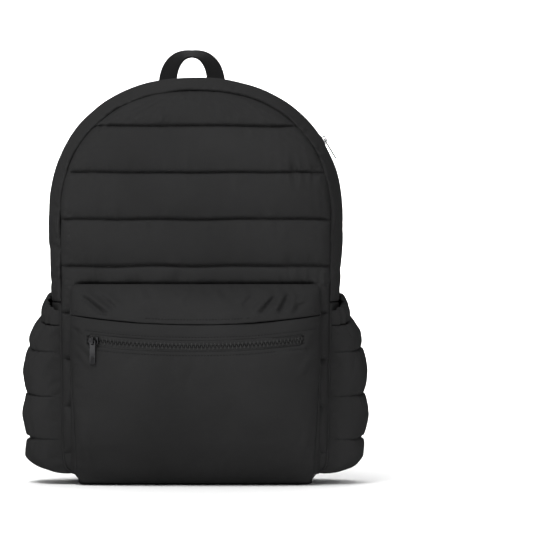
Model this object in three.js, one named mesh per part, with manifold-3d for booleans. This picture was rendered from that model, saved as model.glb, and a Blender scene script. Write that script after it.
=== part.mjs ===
// A quilted puffer backpack standing on its base: padded and quilted front panel, gusset bands with the
// main zip between them, side walls, back panel, boxed base, a big zipped front pocket, two elasticated
// side pockets, a grab handle and two padded shoulder straps with ladder locks.
// Millimetres, +Z up, +X to the viewer's right, the front faces -Y. The origin is the centre of the
// base's underside.
import * as THREE from 'three';
import Module from 'manifold-3d';

const wasm = await Module();
wasm.setup();

// Body shell
const BASE_HALF = 128; // half-width of the boxed base
const BASE_HALF_DEPTH = 79;
const BASE_HEIGHT = 9.5; // height of the base's upright edge
const SPRING_Z = 290; // where the straight sides turn into the arch
const FRONT_Y = -78; // seam between the front panel and the gusset
const BACK_Y = 78; // seam between the gusset and the back panel
const ZIP_Y = -5; // centre line of the main zip
const FRONT_HALF = 149.5; // outline of the front seam
const FRONT_TOP = 434;
const WIDE_HALF = 161; // widest outline, along the main zip
const WIDE_TOP = 446;
const BACK_HALF = 141; // outline of the back seam
const BACK_TOP = 436;
const ARCH_POWER = 2.25; // roundness of the arch, 2 would be an ellipse
const SEAM_GAP = 0.3; // clearance between pieces that are sewn or seated together

// Walls
const FRONT_WALL = 4;
const BAND_WALL = 3.5;
const SIDE_WALL = 3;
const BASE_WALL = 3;
const BACK_EDGE = 3.7;
const POCKET_WALL = 3;
const CUFF_WALL = 3;

// Front panel
const FRONT_CROWN = 32; // how far the filled panel stands out from its seam
const QUILT_PITCH = 50.9;
const QUILT_PUFF = 5;

// Back panel
const BACK_CROWN = 8;
const BACK_CORNER_R = 60;
const BACK_BOTTOM_Z = 45;

// Main zip
const BAND_END_Z = 200; // the bands and the zip end here, at the side pockets' mouths
const MAIN_CHAIN_WIDTH = 7.4;
const CHAIN_THICK = 2.6;
const CHAIN_RECESS = 0.8;
const MAIN_SLIDER_Z = 378;

// Front pocket
const POCKET_HALF = 136;
const POCKET_BOTTOM_Z = 12;
const POCKET_TOP_Z = 220;
const POCKET_CORNER_R = 8;
const POCKET_SEAM_Y = -101; // front edge of the pocket's gusset
const POCKET_DEPTH = 55; // how far the pocket stands out from that edge
const YOKE_Z = 176; // seam under the padded yoke, at the middle
const YOKE_SAG = 10; // the seam rises this much towards the sides
const POCKET_ZIP_Z = 152.6;
const POCKET_ZIP_SAG = 7;
const POCKET_ZIP_HALF = 116;
const POCKET_CHAIN_WIDTH = 6.6;
const POCKET_SLIDER_X = -108.8;

// Side pockets
const SIDE_POCKET_FRONT_Y = -75;
const SIDE_POCKET_BACK_Y = 66;
const SIDE_POCKET_BOTTOM_Z = 12;
const SIDE_POCKET_TOP_Z = 182; // stitched line under the cuff, at mid depth
const SIDE_POCKET_BULGE = 31; // out from the side wall
const SIDE_POCKET_PUFF = 2.5;
const CUFF_HEIGHT = 22;
const CUFF_BULGE = 11.5;
const CUFF_SLOPE = 16; // the mouth rises this much from front to back
const CUFF_PLEATS = 9;
const CUFF_PLEAT_DEPTH = 1.6;

// Slider and pull of each zip
const SLIDER_LENGTH = 12;
const SLIDER_WIDTH = 7.4;
const SLIDER_THICK = 3.2;
const BRIDGE_LENGTH = 7;
const BRIDGE_WIDTH = 2.6;
const BRIDGE_EYE_LENGTH = 4.4;
const BRIDGE_EYE_HEIGHT = 2.2;
const BRIDGE_TOP = 1.2;
const PULL_LENGTH = 26;
const PULL_WIDTH = 7;
const PULL_THICK = 1.4;
const PULL_WINDOW_LENGTH = 4;
const PULL_PLAY = 0.5; // between the bridge and the window's sides

// Grab handle
const HANDLE_X = -4;
const HANDLE_SPREAD = 27.5; // centre of the handle to the centre of a leg
const HANDLE_RISE = 51;
const HANDLE_LEAN = 23; // degrees, backwards
const WEBBING_THICK = 2.4;
const HANDLE_WIDTH = 21;
const HANDLE_LEG_SHARE = 0.3; // straight share of a leg before the arch

// Shoulder straps
const STRAP_X = 45;
const PAD_WIDTH = 48;
const PAD_THICK = 11;
const STRAP_TOP_Z = 424;
const STRAP_REACH = { left: 78, right: 105 }; // how far each strap's pad loops out behind the back
const STRAP_DROP = { left: 248, right: 278 }; // from the pad's top to its lower end
const WEB_WIDTH = 28;
const WEB_THICK = 1.8;
const LOCK_WIDTH = 45;
const LOCK_HEIGHT = 28;
const LOCK_THICK = 4;
const LOCK_BAR = 4;
const LOCK_SLOT_PLAY = 1.5;
const LOCK_TILT = { left: 8, right: -24 }; // degrees from upright
const TAIL_LENGTH = 24;
const ANCHOR_ROOT_Z = 42;
const ANCHOR_TIP_Z = 80;
const ANCHOR_OUT = 17;
const ANCHOR_WIDTH = 36;
const ANCHOR_THICK = 3;

// Colours
const FABRIC = { color: 0x323232, roughness: 0.55, metalness: 0 };
const WEBBING = { color: 0x222222, roughness: 0.8, metalness: 0 };
const PLASTIC = { color: 0x161616, roughness: 0.35, metalness: 0 };
const METAL = { color: 0x3a3a3c, roughness: 0.3, metalness: 0.9 };

const part = new THREE.Group();
part.name = 'quilted_backpack';

const point = (x, y, z) => new THREE.Vector3(x, y, z);
const steps = (count) => Array.from({ length: count + 1 }, (_, index) => index / count);
const mix = THREE.MathUtils.lerp;
const degrees = THREE.MathUtils.degToRad;

// Linear reading of a table's column at a share of its first column
function read(table, key, column, at) {
  const last = table.length - 1;
  if (at <= table[0][key]) return table[0][column];
  for (let row = 1; row <= last; row += 1) {
    const low = table[row - 1];
    const high = table[row];
    if (at <= high[key]) return mix(low[column], high[column], (at - low[key]) / (high[key] - low[key]));
  }
  return table[last][column];
}

// One closed body from triangles given as points, with its faces pointing out
function bodyOf(triangles) {
  const keys = new Map();
  const places = [];
  const cornerIndex = (corner) => {
    const key = corner.toArray().map((value) => Math.round(value * 1e4)).join(' ');
    if (!keys.has(key)) {
      keys.set(key, places.length);
      places.push(corner);
    }
    return keys.get(key);
  };
  const faces = triangles.map((triangle) => triangle.map(cornerIndex));
  const real = faces.filter(([a, b, c]) => a !== b && b !== c && c !== a);
  const volume = real.reduce((sum, [a, b, c]) => (
    sum + places[a].dot(places[b].clone().cross(places[c]))), 0);
  if (volume < 0) real.forEach((face) => face.reverse());
  const geometry = new THREE.BufferGeometry();
  geometry.setAttribute('position', new THREE.Float32BufferAttribute(
    places.flatMap((place) => place.toArray()), 3));
  geometry.setIndex(real.flat());
  return geometry;
}

const quad = (a, b, c, d) => [[a, b, c], [a, c, d]];

// A closed wall between an outer grid of points and an inner grid of the same size
function wallBetween(outer, inner) {
  const faces = [];
  const rows = outer.length - 1;
  const columns = outer[0].length - 1;
  for (let i = 0; i < rows; i += 1) {
    for (let j = 0; j < columns; j += 1) {
      faces.push(...quad(outer[i][j], outer[i][j + 1], outer[i + 1][j + 1], outer[i + 1][j]));
      faces.push(...quad(inner[i + 1][j], inner[i + 1][j + 1], inner[i][j + 1], inner[i][j]));
    }
    faces.push(...quad(outer[i][0], outer[i + 1][0], inner[i + 1][0], inner[i][0]));
    faces.push(...quad(inner[i][columns], inner[i + 1][columns], outer[i + 1][columns], outer[i][columns]));
  }
  for (let j = 0; j < columns; j += 1) {
    faces.push(...quad(inner[0][j], inner[0][j + 1], outer[0][j + 1], outer[0][j]));
    faces.push(...quad(outer[rows][j], outer[rows][j + 1], inner[rows][j + 1], inner[rows][j]));
  }
  return bodyOf(faces);
}

// A closed body through a row of closed sections, with flat ends
function loft(sections) {
  const faces = [];
  const sides = sections[0].length;
  for (let i = 0; i + 1 < sections.length; i += 1) {
    for (let j = 0; j < sides; j += 1) {
      const next = (j + 1) % sides;
      faces.push(...quad(sections[i][j], sections[i][next], sections[i + 1][next], sections[i + 1][j]));
    }
  }
  const first = sections[0];
  const last = sections[sections.length - 1];
  const middle = (ring) => ring.reduce((sum, at) => sum.add(at), point(0, 0, 0)).divideScalar(sides);
  const [firstMiddle, lastMiddle] = [middle(first), middle(last)];
  for (let j = 0; j < sides; j += 1) {
    const next = (j + 1) % sides;
    faces.push([first[next], first[j], firstMiddle]);
    faces.push([last[j], last[next], lastMiddle]);
  }
  return bodyOf(faces);
}

const box = (x0, x1, y0, y1, z0, z1) => (
  bodyOf(triangleList(new THREE.BoxGeometry(x1 - x0, y1 - y0, z1 - z0)
    .translate((x0 + x1) / 2, (y0 + y1) / 2, (z0 + z1) / 2))));

function triangleList(geometry) {
  const loose = geometry.index ? geometry.toNonIndexed() : geometry;
  const places = loose.getAttribute('position');
  const corners = Array.from({ length: places.count }, (_, index) => (
    new THREE.Vector3().fromBufferAttribute(places, index)));
  return Array.from({ length: corners.length / 3 }, (_, index) => corners.slice(index * 3, index * 3 + 3));
}

// Booleans
function toSolid(geometry) {
  const closed = bodyOf(triangleList(geometry));
  return new wasm.Manifold(new wasm.Mesh({
    numProp: 3,
    vertProperties: closed.getAttribute('position').array,
    triVerts: new Uint32Array(closed.index.array),
  }));
}

function fromSolid(solid) {
  const mesh = solid.getMesh();
  const geometry = new THREE.BufferGeometry();
  geometry.setAttribute('position', new THREE.BufferAttribute(new Float32Array(mesh.vertProperties), 3));
  geometry.setIndex(Array.from(mesh.triVerts));
  return bodyOf(triangleList(geometry));
}

const cut = (geometry, ...cutters) => fromSolid(
  cutters.reduce((solid, cutter) => solid.subtract(toSolid(cutter)), toSolid(geometry)));
const join = (...geometries) => fromSolid(
  geometries.map(toSolid).reduce((solid, other) => solid.add(other)));
const common = (geometry, other) => fromSolid(toSolid(geometry).intersect(toSolid(other)));

function add(name, geometry, finish, parent = part) {
  const shown = geometry.toNonIndexed();
  shown.computeVertexNormals();
  const mesh = new THREE.Mesh(shown, new THREE.MeshStandardMaterial(finish));
  mesh.name = name;
  parent.add(mesh);
  return mesh;
}

// Body outlines. A station's rise is 0 at the base's edge, 1 at the spring line and 2 at the top.
const FLARE = [
  { rise: 0, flare: 0 },
  { rise: 0.012, flare: 0.5 },
  { rise: 0.03, flare: 0.7 },
  { rise: 0.07, flare: 0.81 },
  { rise: 0.18, flare: 0.86 },
  { rise: 0.45, flare: 0.89 },
  { rise: 0.8, flare: 0.955 },
  { rise: 1, flare: 1 },
];
const FRONT_RING = { half: FRONT_HALF, top: FRONT_TOP };
const WIDE_RING = { half: WIDE_HALF, top: WIDE_TOP };
const BACK_RING = { half: BACK_HALF, top: BACK_TOP };
const SWELL_POWER = 2.5; // how soon the gusset reaches its widest outline behind a seam

function ringAt(y) {
  const front = y < ZIP_Y;
  const seam = front ? FRONT_RING : BACK_RING;
  const share = front ? (y - FRONT_Y) / (ZIP_Y - FRONT_Y) : (BACK_Y - y) / (BACK_Y - ZIP_Y);
  const swell = 1 - (1 - THREE.MathUtils.clamp(share, 0, 1)) ** SWELL_POWER;
  return { half: mix(seam.half, WIDE_RING.half, swell), top: mix(seam.top, WIDE_RING.top, swell) };
}

function outline(ring, rise) {
  if (rise <= 1) {
    return {
      x: mix(BASE_HALF, ring.half, read(FLARE, 'rise', 'flare', rise)),
      z: mix(BASE_HEIGHT, SPRING_Z, rise),
    };
  }
  const angle = (rise - 1) * Math.PI / 2;
  return {
    x: ring.half * Math.max(Math.cos(angle), 0) ** (2 / ARCH_POWER),
    z: SPRING_Z + (ring.top - SPRING_Z) * Math.sin(angle) ** (2 / ARCH_POWER),
  };
}

// A point on the body's outline at a depth, moved inwards by the inset
function onBody(rise, side, y, inset = 0) {
  const ring = ringAt(y);
  const at = outline(ring, rise);
  const reach = 0.02;
  const low = outline(ring, Math.max(rise - reach, 0));
  const high = outline(ring, Math.min(rise + reach, 2));
  const alongX = rise >= 2 ? -1 : high.x - low.x;
  const alongZ = rise >= 2 ? 0 : high.z - low.z;
  const length = Math.hypot(alongX, alongZ);
  return point(side * (at.x - inset * alongZ / length), y, at.z + inset * alongX / length);
}

// Stations of the side walls, between the base's edge and the ends of the bands
const LOW_RISES = FLARE.slice(1, 6).map(({ rise }) => rise);

const riseOf = (z) => (z - BASE_HEIGHT) / (SPRING_Z - BASE_HEIGHT);

// Stations up the right side, over the top and down the left side
function stationsFrom(startRise) {
  const sides = steps(5).map((share) => mix(startRise, 1, share));
  const arch = steps(12).slice(1).map((share) => 1 + share);
  const right = [...sides, ...arch].map((rise) => ({ rise, side: 1 }));
  const left = right.slice(0, -1).reverse().map(({ rise }) => ({ rise, side: -1 }));
  return [...right, ...left];
}

function shellStrip(stations, depths, wall) {
  const gridAt = (inset) => stations.map(({ rise, side }) => (
    depths.map((y) => onBody(rise, side, y, inset))));
  return wallBetween(gridAt(0), gridAt(wall));
}

const bandDepths = (start, end, shares) => shares.map((share) => mix(start, end, share));
const FRONT_BAND_DEPTHS = bandDepths(FRONT_Y + SEAM_GAP, ZIP_Y - MAIN_CHAIN_WIDTH / 2 - SEAM_GAP,
  [0, 0.15, 0.4, 1]);
const REAR_BAND_DEPTHS = bandDepths(ZIP_Y + MAIN_CHAIN_WIDTH / 2 + SEAM_GAP, BACK_Y,
  [0, 0.5, 0.8, 1]);

function addBands() {
  const stations = stationsFrom(riseOf(BAND_END_Z));
  add('zip_band_front', shellStrip(stations, FRONT_BAND_DEPTHS, BAND_WALL), FABRIC);
  add('zip_band_rear', shellStrip(stations, REAR_BAND_DEPTHS, BAND_WALL), FABRIC);
}

function addSideWalls() {
  const low = riseOf(BASE_HEIGHT + SEAM_GAP);
  const high = riseOf(BAND_END_Z - SEAM_GAP);
  const rises = [low, ...LOW_RISES, high];
  const depths = [...FRONT_BAND_DEPTHS.slice(0, 3), ...REAR_BAND_DEPTHS.slice(1)];
  [['left', -1], ['right', 1]].forEach(([name, side]) => {
    const stations = rises.map((rise) => ({ rise, side }));
    add(`side_wall_${name}`, shellStrip(stations, depths, SIDE_WALL), FABRIC);
  });
}

// The whole body as one block, a clearance larger all round: what seats on the body is cut with it
function bodyBlock(clearance) {
  const rises = [0, ...LOW_RISES];
  const stations = [...rises.map((rise) => ({ rise, side: 1 })), ...stationsFrom(riseOf(BAND_END_Z)),
    ...rises.reverse().map((rise) => ({ rise, side: -1 }))];
  const depths = [...FRONT_BAND_DEPTHS.slice(0, 3), ...REAR_BAND_DEPTHS];
  const sections = depths.map((y) => stations.map(({ rise, side }) => onBody(rise, side, y, -clearance)));
  return loft(sections);
}

// Panels. Columns run closer together towards the sides, where the panel curves most.
const columnShares = (count) => steps(count).map((share) => Math.sin((share - 0.5) * Math.PI));

const quiltPuff = (z) => Math.abs(Math.sin(Math.PI * (z - SPRING_Z) / QUILT_PITCH)) ** 0.8;

function halfOf(ring, z) {
  if (z <= SPRING_Z) return outline(ring, riseOf(z)).x;
  const lift = Math.min((z - SPRING_Z) / (ring.top - SPRING_Z), 1);
  return ring.half * (1 - lift ** ARCH_POWER) ** (1 / ARCH_POWER);
}

function topOf(ring, x) {
  const share = Math.min(Math.abs(x) / ring.half, 1);
  return SPRING_Z + (ring.top - SPRING_Z) * (1 - share ** ARCH_POWER) ** (1 / ARCH_POWER);
}

// How far a point lies from the panel's middle line towards its outline, 0 to 1
function outlineShare(ring, x, z) {
  const lift = Math.max(z - SPRING_Z, 0) / (ring.top - SPRING_Z);
  const half = z > SPRING_Z ? ring.half : halfOf(ring, z);
  return Math.min(((Math.abs(x) / half) ** ARCH_POWER + lift ** ARCH_POWER) ** (1 / ARCH_POWER), 1);
}

const FRONT_BOTTOM_Z = BASE_HEIGHT + SEAM_GAP;
const CROWN_POWER = 2.6;
const CROWN_EDGE = 1.9;
const LOW_POWER = 6;

// How far the front panel stands out from its seam plane
function frontCrown(x, z) {
  const share = outlineShare(FRONT_RING, x, z);
  const across = (1 - share ** CROWN_POWER) ** (1 / CROWN_EDGE);
  const fall = Math.max(SPRING_Z - z, 0) / (SPRING_Z - FRONT_BOTTOM_Z);
  const low = (1 - Math.min(fall, 1) ** LOW_POWER) ** 0.5;
  const quilt = QUILT_PUFF * quiltPuff(z) * Math.min(across * low * 1.6, 1);
  return (FRONT_CROWN - QUILT_PUFF) * across * low + quilt * across ** 0.3;
}

const frontSurface = (x, z) => FRONT_Y - frontCrown(x, z);

function panelRows(bottom, capZ, perChannel) {
  const first = Math.ceil((bottom - SPRING_Z) / QUILT_PITCH);
  const last = Math.round((capZ - SPRING_Z) / QUILT_PITCH);
  const count = (last - first) * perChannel;
  const regular = steps(count).map((share) => SPRING_Z + QUILT_PITCH * mix(first, last, share));
  return [bottom, mix(bottom, regular[0], 0.2), mix(bottom, regular[0], 0.6), ...regular];
}

// A grid over a panel: level rows up to the cap line, then rows that bend into the arch
function panelGrid(ring, rows, columns, halfAt, capShares, place) {
  const shares = columnShares(columns);
  const level = rows.map((z) => shares.map((share) => place(share * halfAt(z), z)));
  const capZ = rows[rows.length - 1];
  const cap = capShares.map((up) => shares.map((share) => {
    const x = share * halfAt(capZ);
    return place(x, mix(capZ, Math.max(topOf(ring, x), capZ), up));
  }));
  return [...level, ...cap];
}

const FRONT_CAP = SPRING_Z + 2 * QUILT_PITCH;
const CAP_SHARES = [0.35, 0.7, 0.92, 1];

function frontGrid(place) {
  const rows = panelRows(FRONT_BOTTOM_Z, FRONT_CAP, 3);
  return panelGrid(FRONT_RING, rows, 14, (z) => halfOf(FRONT_RING, z), CAP_SHARES, place);
}

function addFrontPanel() {
  const outer = frontGrid((x, z) => point(x, frontSurface(x, z), z));
  const middleZ = (FRONT_BOTTOM_Z + FRONT_TOP) / 2;
  const acrossShare = (FRONT_HALF - FRONT_WALL) / FRONT_HALF;
  const upShare = (FRONT_TOP - middleZ - FRONT_WALL) / (FRONT_TOP - middleZ);
  const deepShare = (FRONT_CROWN - FRONT_WALL) / FRONT_CROWN;
  const inner = frontGrid((x, z) => point(
    x * acrossShare, FRONT_Y - frontCrown(x, z) * deepShare, middleZ + (z - middleZ) * upShare));
  add('front_panel', wallBetween(outer, inner), FABRIC);
}

// The front panel filled up to a plane behind it, moved out by a clearance
function frontBlock(clearance) {
  const outer = frontGrid((x, z) => point(x, frontSurface(x, z) - clearance, z));
  const behind = frontGrid((x, z) => point(x, 0, z));
  return wallBetween(outer, behind);
}

// Back panel: a padded plate with rounded lower corners
function backHalf(z) {
  const corner = BACK_HALF + 2 - BACK_CORNER_R;
  const fall = Math.max(BACK_BOTTOM_Z + BACK_CORNER_R - z, 0);
  const rounded = corner + Math.sqrt(Math.max(BACK_CORNER_R ** 2 - fall ** 2, 0));
  return Math.min(rounded, halfOf(BACK_RING, z));
}

const BACK_INNER_Y = BACK_Y + SEAM_GAP;
const BACK_ROWS = [0, 0.02, 0.05, 0.1, 0.16, 0.3, 0.5, 0.7, 0.9, 1]
  .map((share) => mix(BACK_BOTTOM_Z, FRONT_CAP, share));

const backGrid = (place) => panelGrid(BACK_RING, BACK_ROWS, 10, backHalf, [0.5, 0.85, 1], place);

function backSurface(x, z) {
  const share = outlineShare(BACK_RING, x, z);
  const low = Math.min((z - BACK_BOTTOM_Z) / BACK_CORNER_R, 1);
  const swell = (1 - share ** 4) ** 0.5 * Math.sin(low * Math.PI / 2) ** 0.5;
  return BACK_INNER_Y + BACK_EDGE + (BACK_CROWN - BACK_EDGE) * swell;
}

function backBlock(clearance) {
  const outer = backGrid((x, z) => point(x, backSurface(x, z) + clearance, z));
  return wallBetween(outer, backGrid((x, z) => point(x, BACK_INNER_Y, z)));
}

const addBackPanel = () => add('back_panel', backBlock(0), FABRIC);

// A flat outline in the XZ plane as a slab between two depths
function slab(outlinePoints, y0, y1) {
  const shape = new THREE.Shape(outlinePoints.map(({ x, z }) => new THREE.Vector2(x, z)));
  const geometry = new THREE.ExtrudeGeometry(shape, { depth: y1 - y0, bevelEnabled: false });
  return bodyOf(triangleList(geometry.rotateX(Math.PI / 2).translate(0, y1, 0)));
}

// The base is a shallow tray whose back edge rises behind the rounded corners of the back panel
function addBasePanel() {
  const tray = cut(
    box(-BASE_HALF, BASE_HALF, -BASE_HALF_DEPTH, BASE_HALF_DEPTH, 0, BASE_HEIGHT),
    box(-BASE_HALF + BASE_WALL, BASE_HALF - BASE_WALL, -BASE_HALF_DEPTH + BASE_WALL,
      BASE_HALF_DEPTH - BASE_WALL, BASE_WALL, BASE_HEIGHT + 1));
  const rises = [0, ...LOW_RISES, 0.5];
  const right = rises.map((rise) => outline(BACK_RING, rise));
  const left = right.map(({ x, z }) => ({ x: -x, z })).reverse();
  const plate = slab([{ x: BASE_HALF, z: 0 }, ...right, ...left, { x: -BASE_HALF, z: 0 }],
    BACK_INNER_Y, BACK_INNER_Y + BACK_EDGE);
  const clear = BACK_CORNER_R + SEAM_GAP;
  const cornerX = BACK_HALF + 2 - BACK_CORNER_R;
  const cornerZ = BACK_BOTTOM_Z + BACK_CORNER_R;
  const arc = steps(10).map((share) => {
    const angle = -share * Math.PI / 2;
    return { x: cornerX + clear * Math.cos(angle), z: cornerZ + clear * Math.sin(angle) };
  });
  const mirrored = arc.map(({ x, z }) => ({ x: -x, z })).reverse();
  const above = cornerZ + BACK_CORNER_R;
  const window = slab([{ x: cornerX + clear, z: above }, ...arc, ...mirrored,
    { x: -cornerX - clear, z: above }], BACK_INNER_Y - 1, BACK_INNER_Y + BACK_EDGE + 1);
  add('base_panel', join(tray, cut(plate, window)), FABRIC);
}

// Main zip: a strip just below the surface between the two bands
function addMainZip() {
  const half = MAIN_CHAIN_WIDTH / 2;
  const stations = stationsFrom(riseOf(BAND_END_Z));
  const depths = [ZIP_Y - half, ZIP_Y + half];
  const gridAt = (inset) => stations.map(({ rise, side }) => depths.map((y) => {
    const at = onBody(rise, side, ZIP_Y, inset);
    return point(at.x, y, at.z);
  }));
  const chain = wallBetween(gridAt(CHAIN_RECESS), gridAt(CHAIN_RECESS + CHAIN_THICK));
  add('main_zip_chain', chain, METAL);
  const rise = 1 + Math.asin(((MAIN_SLIDER_Z - SPRING_Z) / (WIDE_TOP - SPRING_Z)) ** (ARCH_POWER / 2))
    / (Math.PI / 2);
  const seat = onBody(rise, 1, ZIP_Y, CHAIN_RECESS);
  const out = onBody(rise, 1, ZIP_Y, CHAIN_RECESS - 1).sub(seat).normalize();
  const down = point(out.z, 0, -out.x);
  addSlider('main_zip', seat, out, down, [SLIDER_LENGTH, SLIDER_WIDTH]);
}

// A slider seated on its chain with a hard pull through its bridge. In the group's own axes +Z points
// out of the fabric, +X is the way the pull lies, and the pull turns about the eye's line along Y.
function addSlider(name, seat, out, along, [length, width]) {
  const group = new THREE.Group();
  const across = out.clone().cross(along);
  group.matrix.makeBasis(along, across, out).setPosition(seat);
  group.matrix.decompose(group.position, group.quaternion, group.scale);
  part.add(group);
  const bottom = SEAM_GAP;
  const top = bottom + SLIDER_THICK;
  const eyeZ = top + BRIDGE_EYE_HEIGHT / 2;
  const plate = box(-length / 2, length / 2, -width / 2, width / 2, bottom, top);
  const bridgeTop = top + BRIDGE_EYE_HEIGHT + BRIDGE_TOP;
  const bridge = cut(
    box(-BRIDGE_LENGTH / 2, BRIDGE_LENGTH / 2, -BRIDGE_WIDTH / 2, BRIDGE_WIDTH / 2, top - 1, bridgeTop),
    box(-BRIDGE_EYE_LENGTH / 2, BRIDGE_EYE_LENGTH / 2, -BRIDGE_WIDTH, BRIDGE_WIDTH, top,
      top + BRIDGE_EYE_HEIGHT));
  add(`${name}_slider`, join(plate, bridge), METAL, group);
  const half = PULL_THICK / 2;
  const window = BRIDGE_WIDTH / 2 + PULL_PLAY;
  const pull = cut(
    box(-half, PULL_LENGTH - half, -PULL_WIDTH / 2, PULL_WIDTH / 2, eyeZ - half, eyeZ + half),
    box(half, half + PULL_WINDOW_LENGTH, -window, window, eyeZ - PULL_THICK, eyeZ + PULL_THICK));
  add(`${name}_pull`, pull, METAL, group);
}

// Front pocket: profile down its middle, as shares of the pocket's height and depth
const POCKET_PROFILE = [
  { height: 0, depth: 0 },
  { height: 0.03, depth: 0.1 },
  { height: 0.09, depth: 0.3 },
  { height: 0.19, depth: 0.56 },
  { height: 0.31, depth: 0.8 },
  { height: 0.45, depth: 0.94 },
  { height: 0.6, depth: 1 },
  { height: 0.72, depth: 0.96 },
  { height: 0.81, depth: 0.86 },
  { height: 0.89, depth: 0.68 },
  { height: 0.95, depth: 0.46 },
  { height: 1, depth: 0.22 },
];
// The gusset's front edge, as shares of the way from the front seam plane to POCKET_SEAM_Y
const POCKET_EDGE = [
  { height: 0, edge: 0.45 },
  { height: 0.06, edge: 0.75 },
  { height: 0.16, edge: 1 },
  { height: 0.85, edge: 1 },
  { height: 1, edge: 0.72 },
];
const pocketHeight = (z) => (z - POCKET_BOTTOM_Z) / (POCKET_TOP_Z - POCKET_BOTTOM_Z);
const pocketEdge = (z) => mix(FRONT_Y, POCKET_SEAM_Y, read(POCKET_EDGE, 'height', 'edge', pocketHeight(z)));
const POCKET_SIDE_POWER = 4;

function pocketHalf(z) {
  const fall = Math.max(POCKET_CORNER_R - Math.min(z - POCKET_BOTTOM_Z, POCKET_TOP_Z - z), 0);
  return POCKET_HALF - POCKET_CORNER_R + Math.sqrt(Math.max(POCKET_CORNER_R ** 2 - fall ** 2, 0));
}

function pocketSurface(x, z) {
  const share = Math.min(Math.abs(x) / pocketHalf(z), 1);
  const across = (1 - share ** POCKET_SIDE_POWER) ** 0.5;
  return pocketEdge(z) - POCKET_DEPTH * read(POCKET_PROFILE, 'height', 'depth', pocketHeight(z)) * across;
}

const sagAt = (x, half) => (x / half) ** 2;
const POCKET_ROWS = [0, 0.015, 0.035, 0.06, 0.1, 0.16, 0.24, 0.34, 0.46, 0.58, 0.68, 0.76, 0.83, 0.9,
  0.945, 0.975, 1];

function pocketGrid(place) {
  const shares = columnShares(12);
  return POCKET_ROWS.map((height) => {
    const z = mix(POCKET_BOTTOM_Z, POCKET_TOP_Z, height);
    return shares.map((share) => place(share * pocketHalf(z), z));
  });
}

// A slab that follows a line sagging at the middle, from a distance below it to one above it
function saggingSlab(z, sag, sagHalf, half, below, above) {
  const xs = steps(16).map((share) => mix(-half, half, share));
  const lineAt = (x) => z + sag * sagAt(x, sagHalf);
  const upper = xs.map((x) => ({ x, z: lineAt(x) + above }));
  const lower = xs.map((x) => ({ x, z: lineAt(x) - below })).reverse();
  const frontY = POCKET_SEAM_Y - POCKET_DEPTH - 20;
  return slab([...lower, ...upper], frontY, FRONT_Y);
}

function addFrontPocket() {
  const outer = pocketGrid((x, z) => point(x, pocketSurface(x, z), z));
  const middleZ = (POCKET_BOTTOM_Z + POCKET_TOP_Z) / 2;
  const acrossShare = (POCKET_HALF - POCKET_WALL) / POCKET_HALF;
  const upShare = (POCKET_TOP_Z - middleZ - POCKET_WALL) / (POCKET_TOP_Z - middleZ);
  const deepShare = (POCKET_DEPTH - POCKET_WALL) / POCKET_DEPTH;
  const inner = pocketGrid((x, z) => {
    const edge = pocketEdge(z);
    return point(x * acrossShare, edge + (pocketSurface(x, z) - edge) * deepShare,
      middleZ + (z - middleZ) * upShare);
  });
  const shell = cut(wallBetween(outer, inner), frontBlock(SEAM_GAP));
  const wide = POCKET_HALF + 10;
  const tall = POCKET_TOP_Z;
  const yokeLine = (below, above) => saggingSlab(YOKE_Z, YOKE_SAG, POCKET_HALF, wide, below, above);
  const slotHalf = POCKET_CHAIN_WIDTH / 2 + SEAM_GAP;
  const slot = saggingSlab(POCKET_ZIP_Z, POCKET_ZIP_SAG, POCKET_ZIP_HALF, POCKET_ZIP_HALF,
    slotHalf, slotHalf);
  add('front_pocket_panel', cut(shell, yokeLine(0, tall), slot), FABRIC);
  add('front_pocket_yoke', common(shell, yokeLine(-SEAM_GAP, tall)), FABRIC);

  const edgePoints = (across, up) => {
    const column = (side) => POCKET_ROWS.slice(0, -2).map((height) => {
      const z = mix(POCKET_BOTTOM_Z, POCKET_TOP_Z, height);
      return { x: side * pocketHalf(z) * across, z: middleZ + (z - middleZ) * up, seamZ: z };
    });
    return [...column(-1).reverse(), ...column(1)];
  };
  const strip = (across, up) => edgePoints(across, up).map(({ x, z, seamZ }) => [
    point(x, pocketEdge(seamZ) + SEAM_GAP, z),
    point(x, FRONT_Y + 1, z),
  ]);
  const gusset = cut(wallBetween(strip(1, 1), strip(acrossShare, upShare)), frontBlock(SEAM_GAP));
  add('front_pocket_gusset', gusset, FABRIC);
}

// Pocket zip: a strip that follows the slot, just below the pocket's surface
function addPocketZip() {
  const half = POCKET_CHAIN_WIDTH / 2;
  const reach = POCKET_ZIP_HALF - SEAM_GAP;
  const lineAt = (x) => POCKET_ZIP_Z + POCKET_ZIP_SAG * sagAt(x, POCKET_ZIP_HALF);
  const gridAt = (recess) => steps(24).map((share) => {
    const x = mix(-reach, reach, share);
    const y = pocketSurface(x, lineAt(x)) + recess;
    return [point(x, y, lineAt(x) - half), point(x, y, lineAt(x) + half)];
  });
  const chain = wallBetween(gridAt(CHAIN_RECESS), gridAt(CHAIN_RECESS + CHAIN_THICK));
  add('pocket_zip_chain', chain, METAL);
  const z = lineAt(POCKET_SLIDER_X);
  const seat = point(POCKET_SLIDER_X, pocketSurface(POCKET_SLIDER_X, z) + CHAIN_RECESS, z);
  const reachX = SLIDER_LENGTH / 2;
  const turn = Math.atan2(pocketSurface(POCKET_SLIDER_X + reachX, z) - pocketSurface(
    POCKET_SLIDER_X - reachX, z), 2 * reachX);
  const out = point(Math.sin(turn), -Math.cos(turn), 0);
  addSlider('pocket_zip', seat, out, point(0, 0, -1), [SLIDER_WIDTH, SLIDER_LENGTH]);
}

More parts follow.
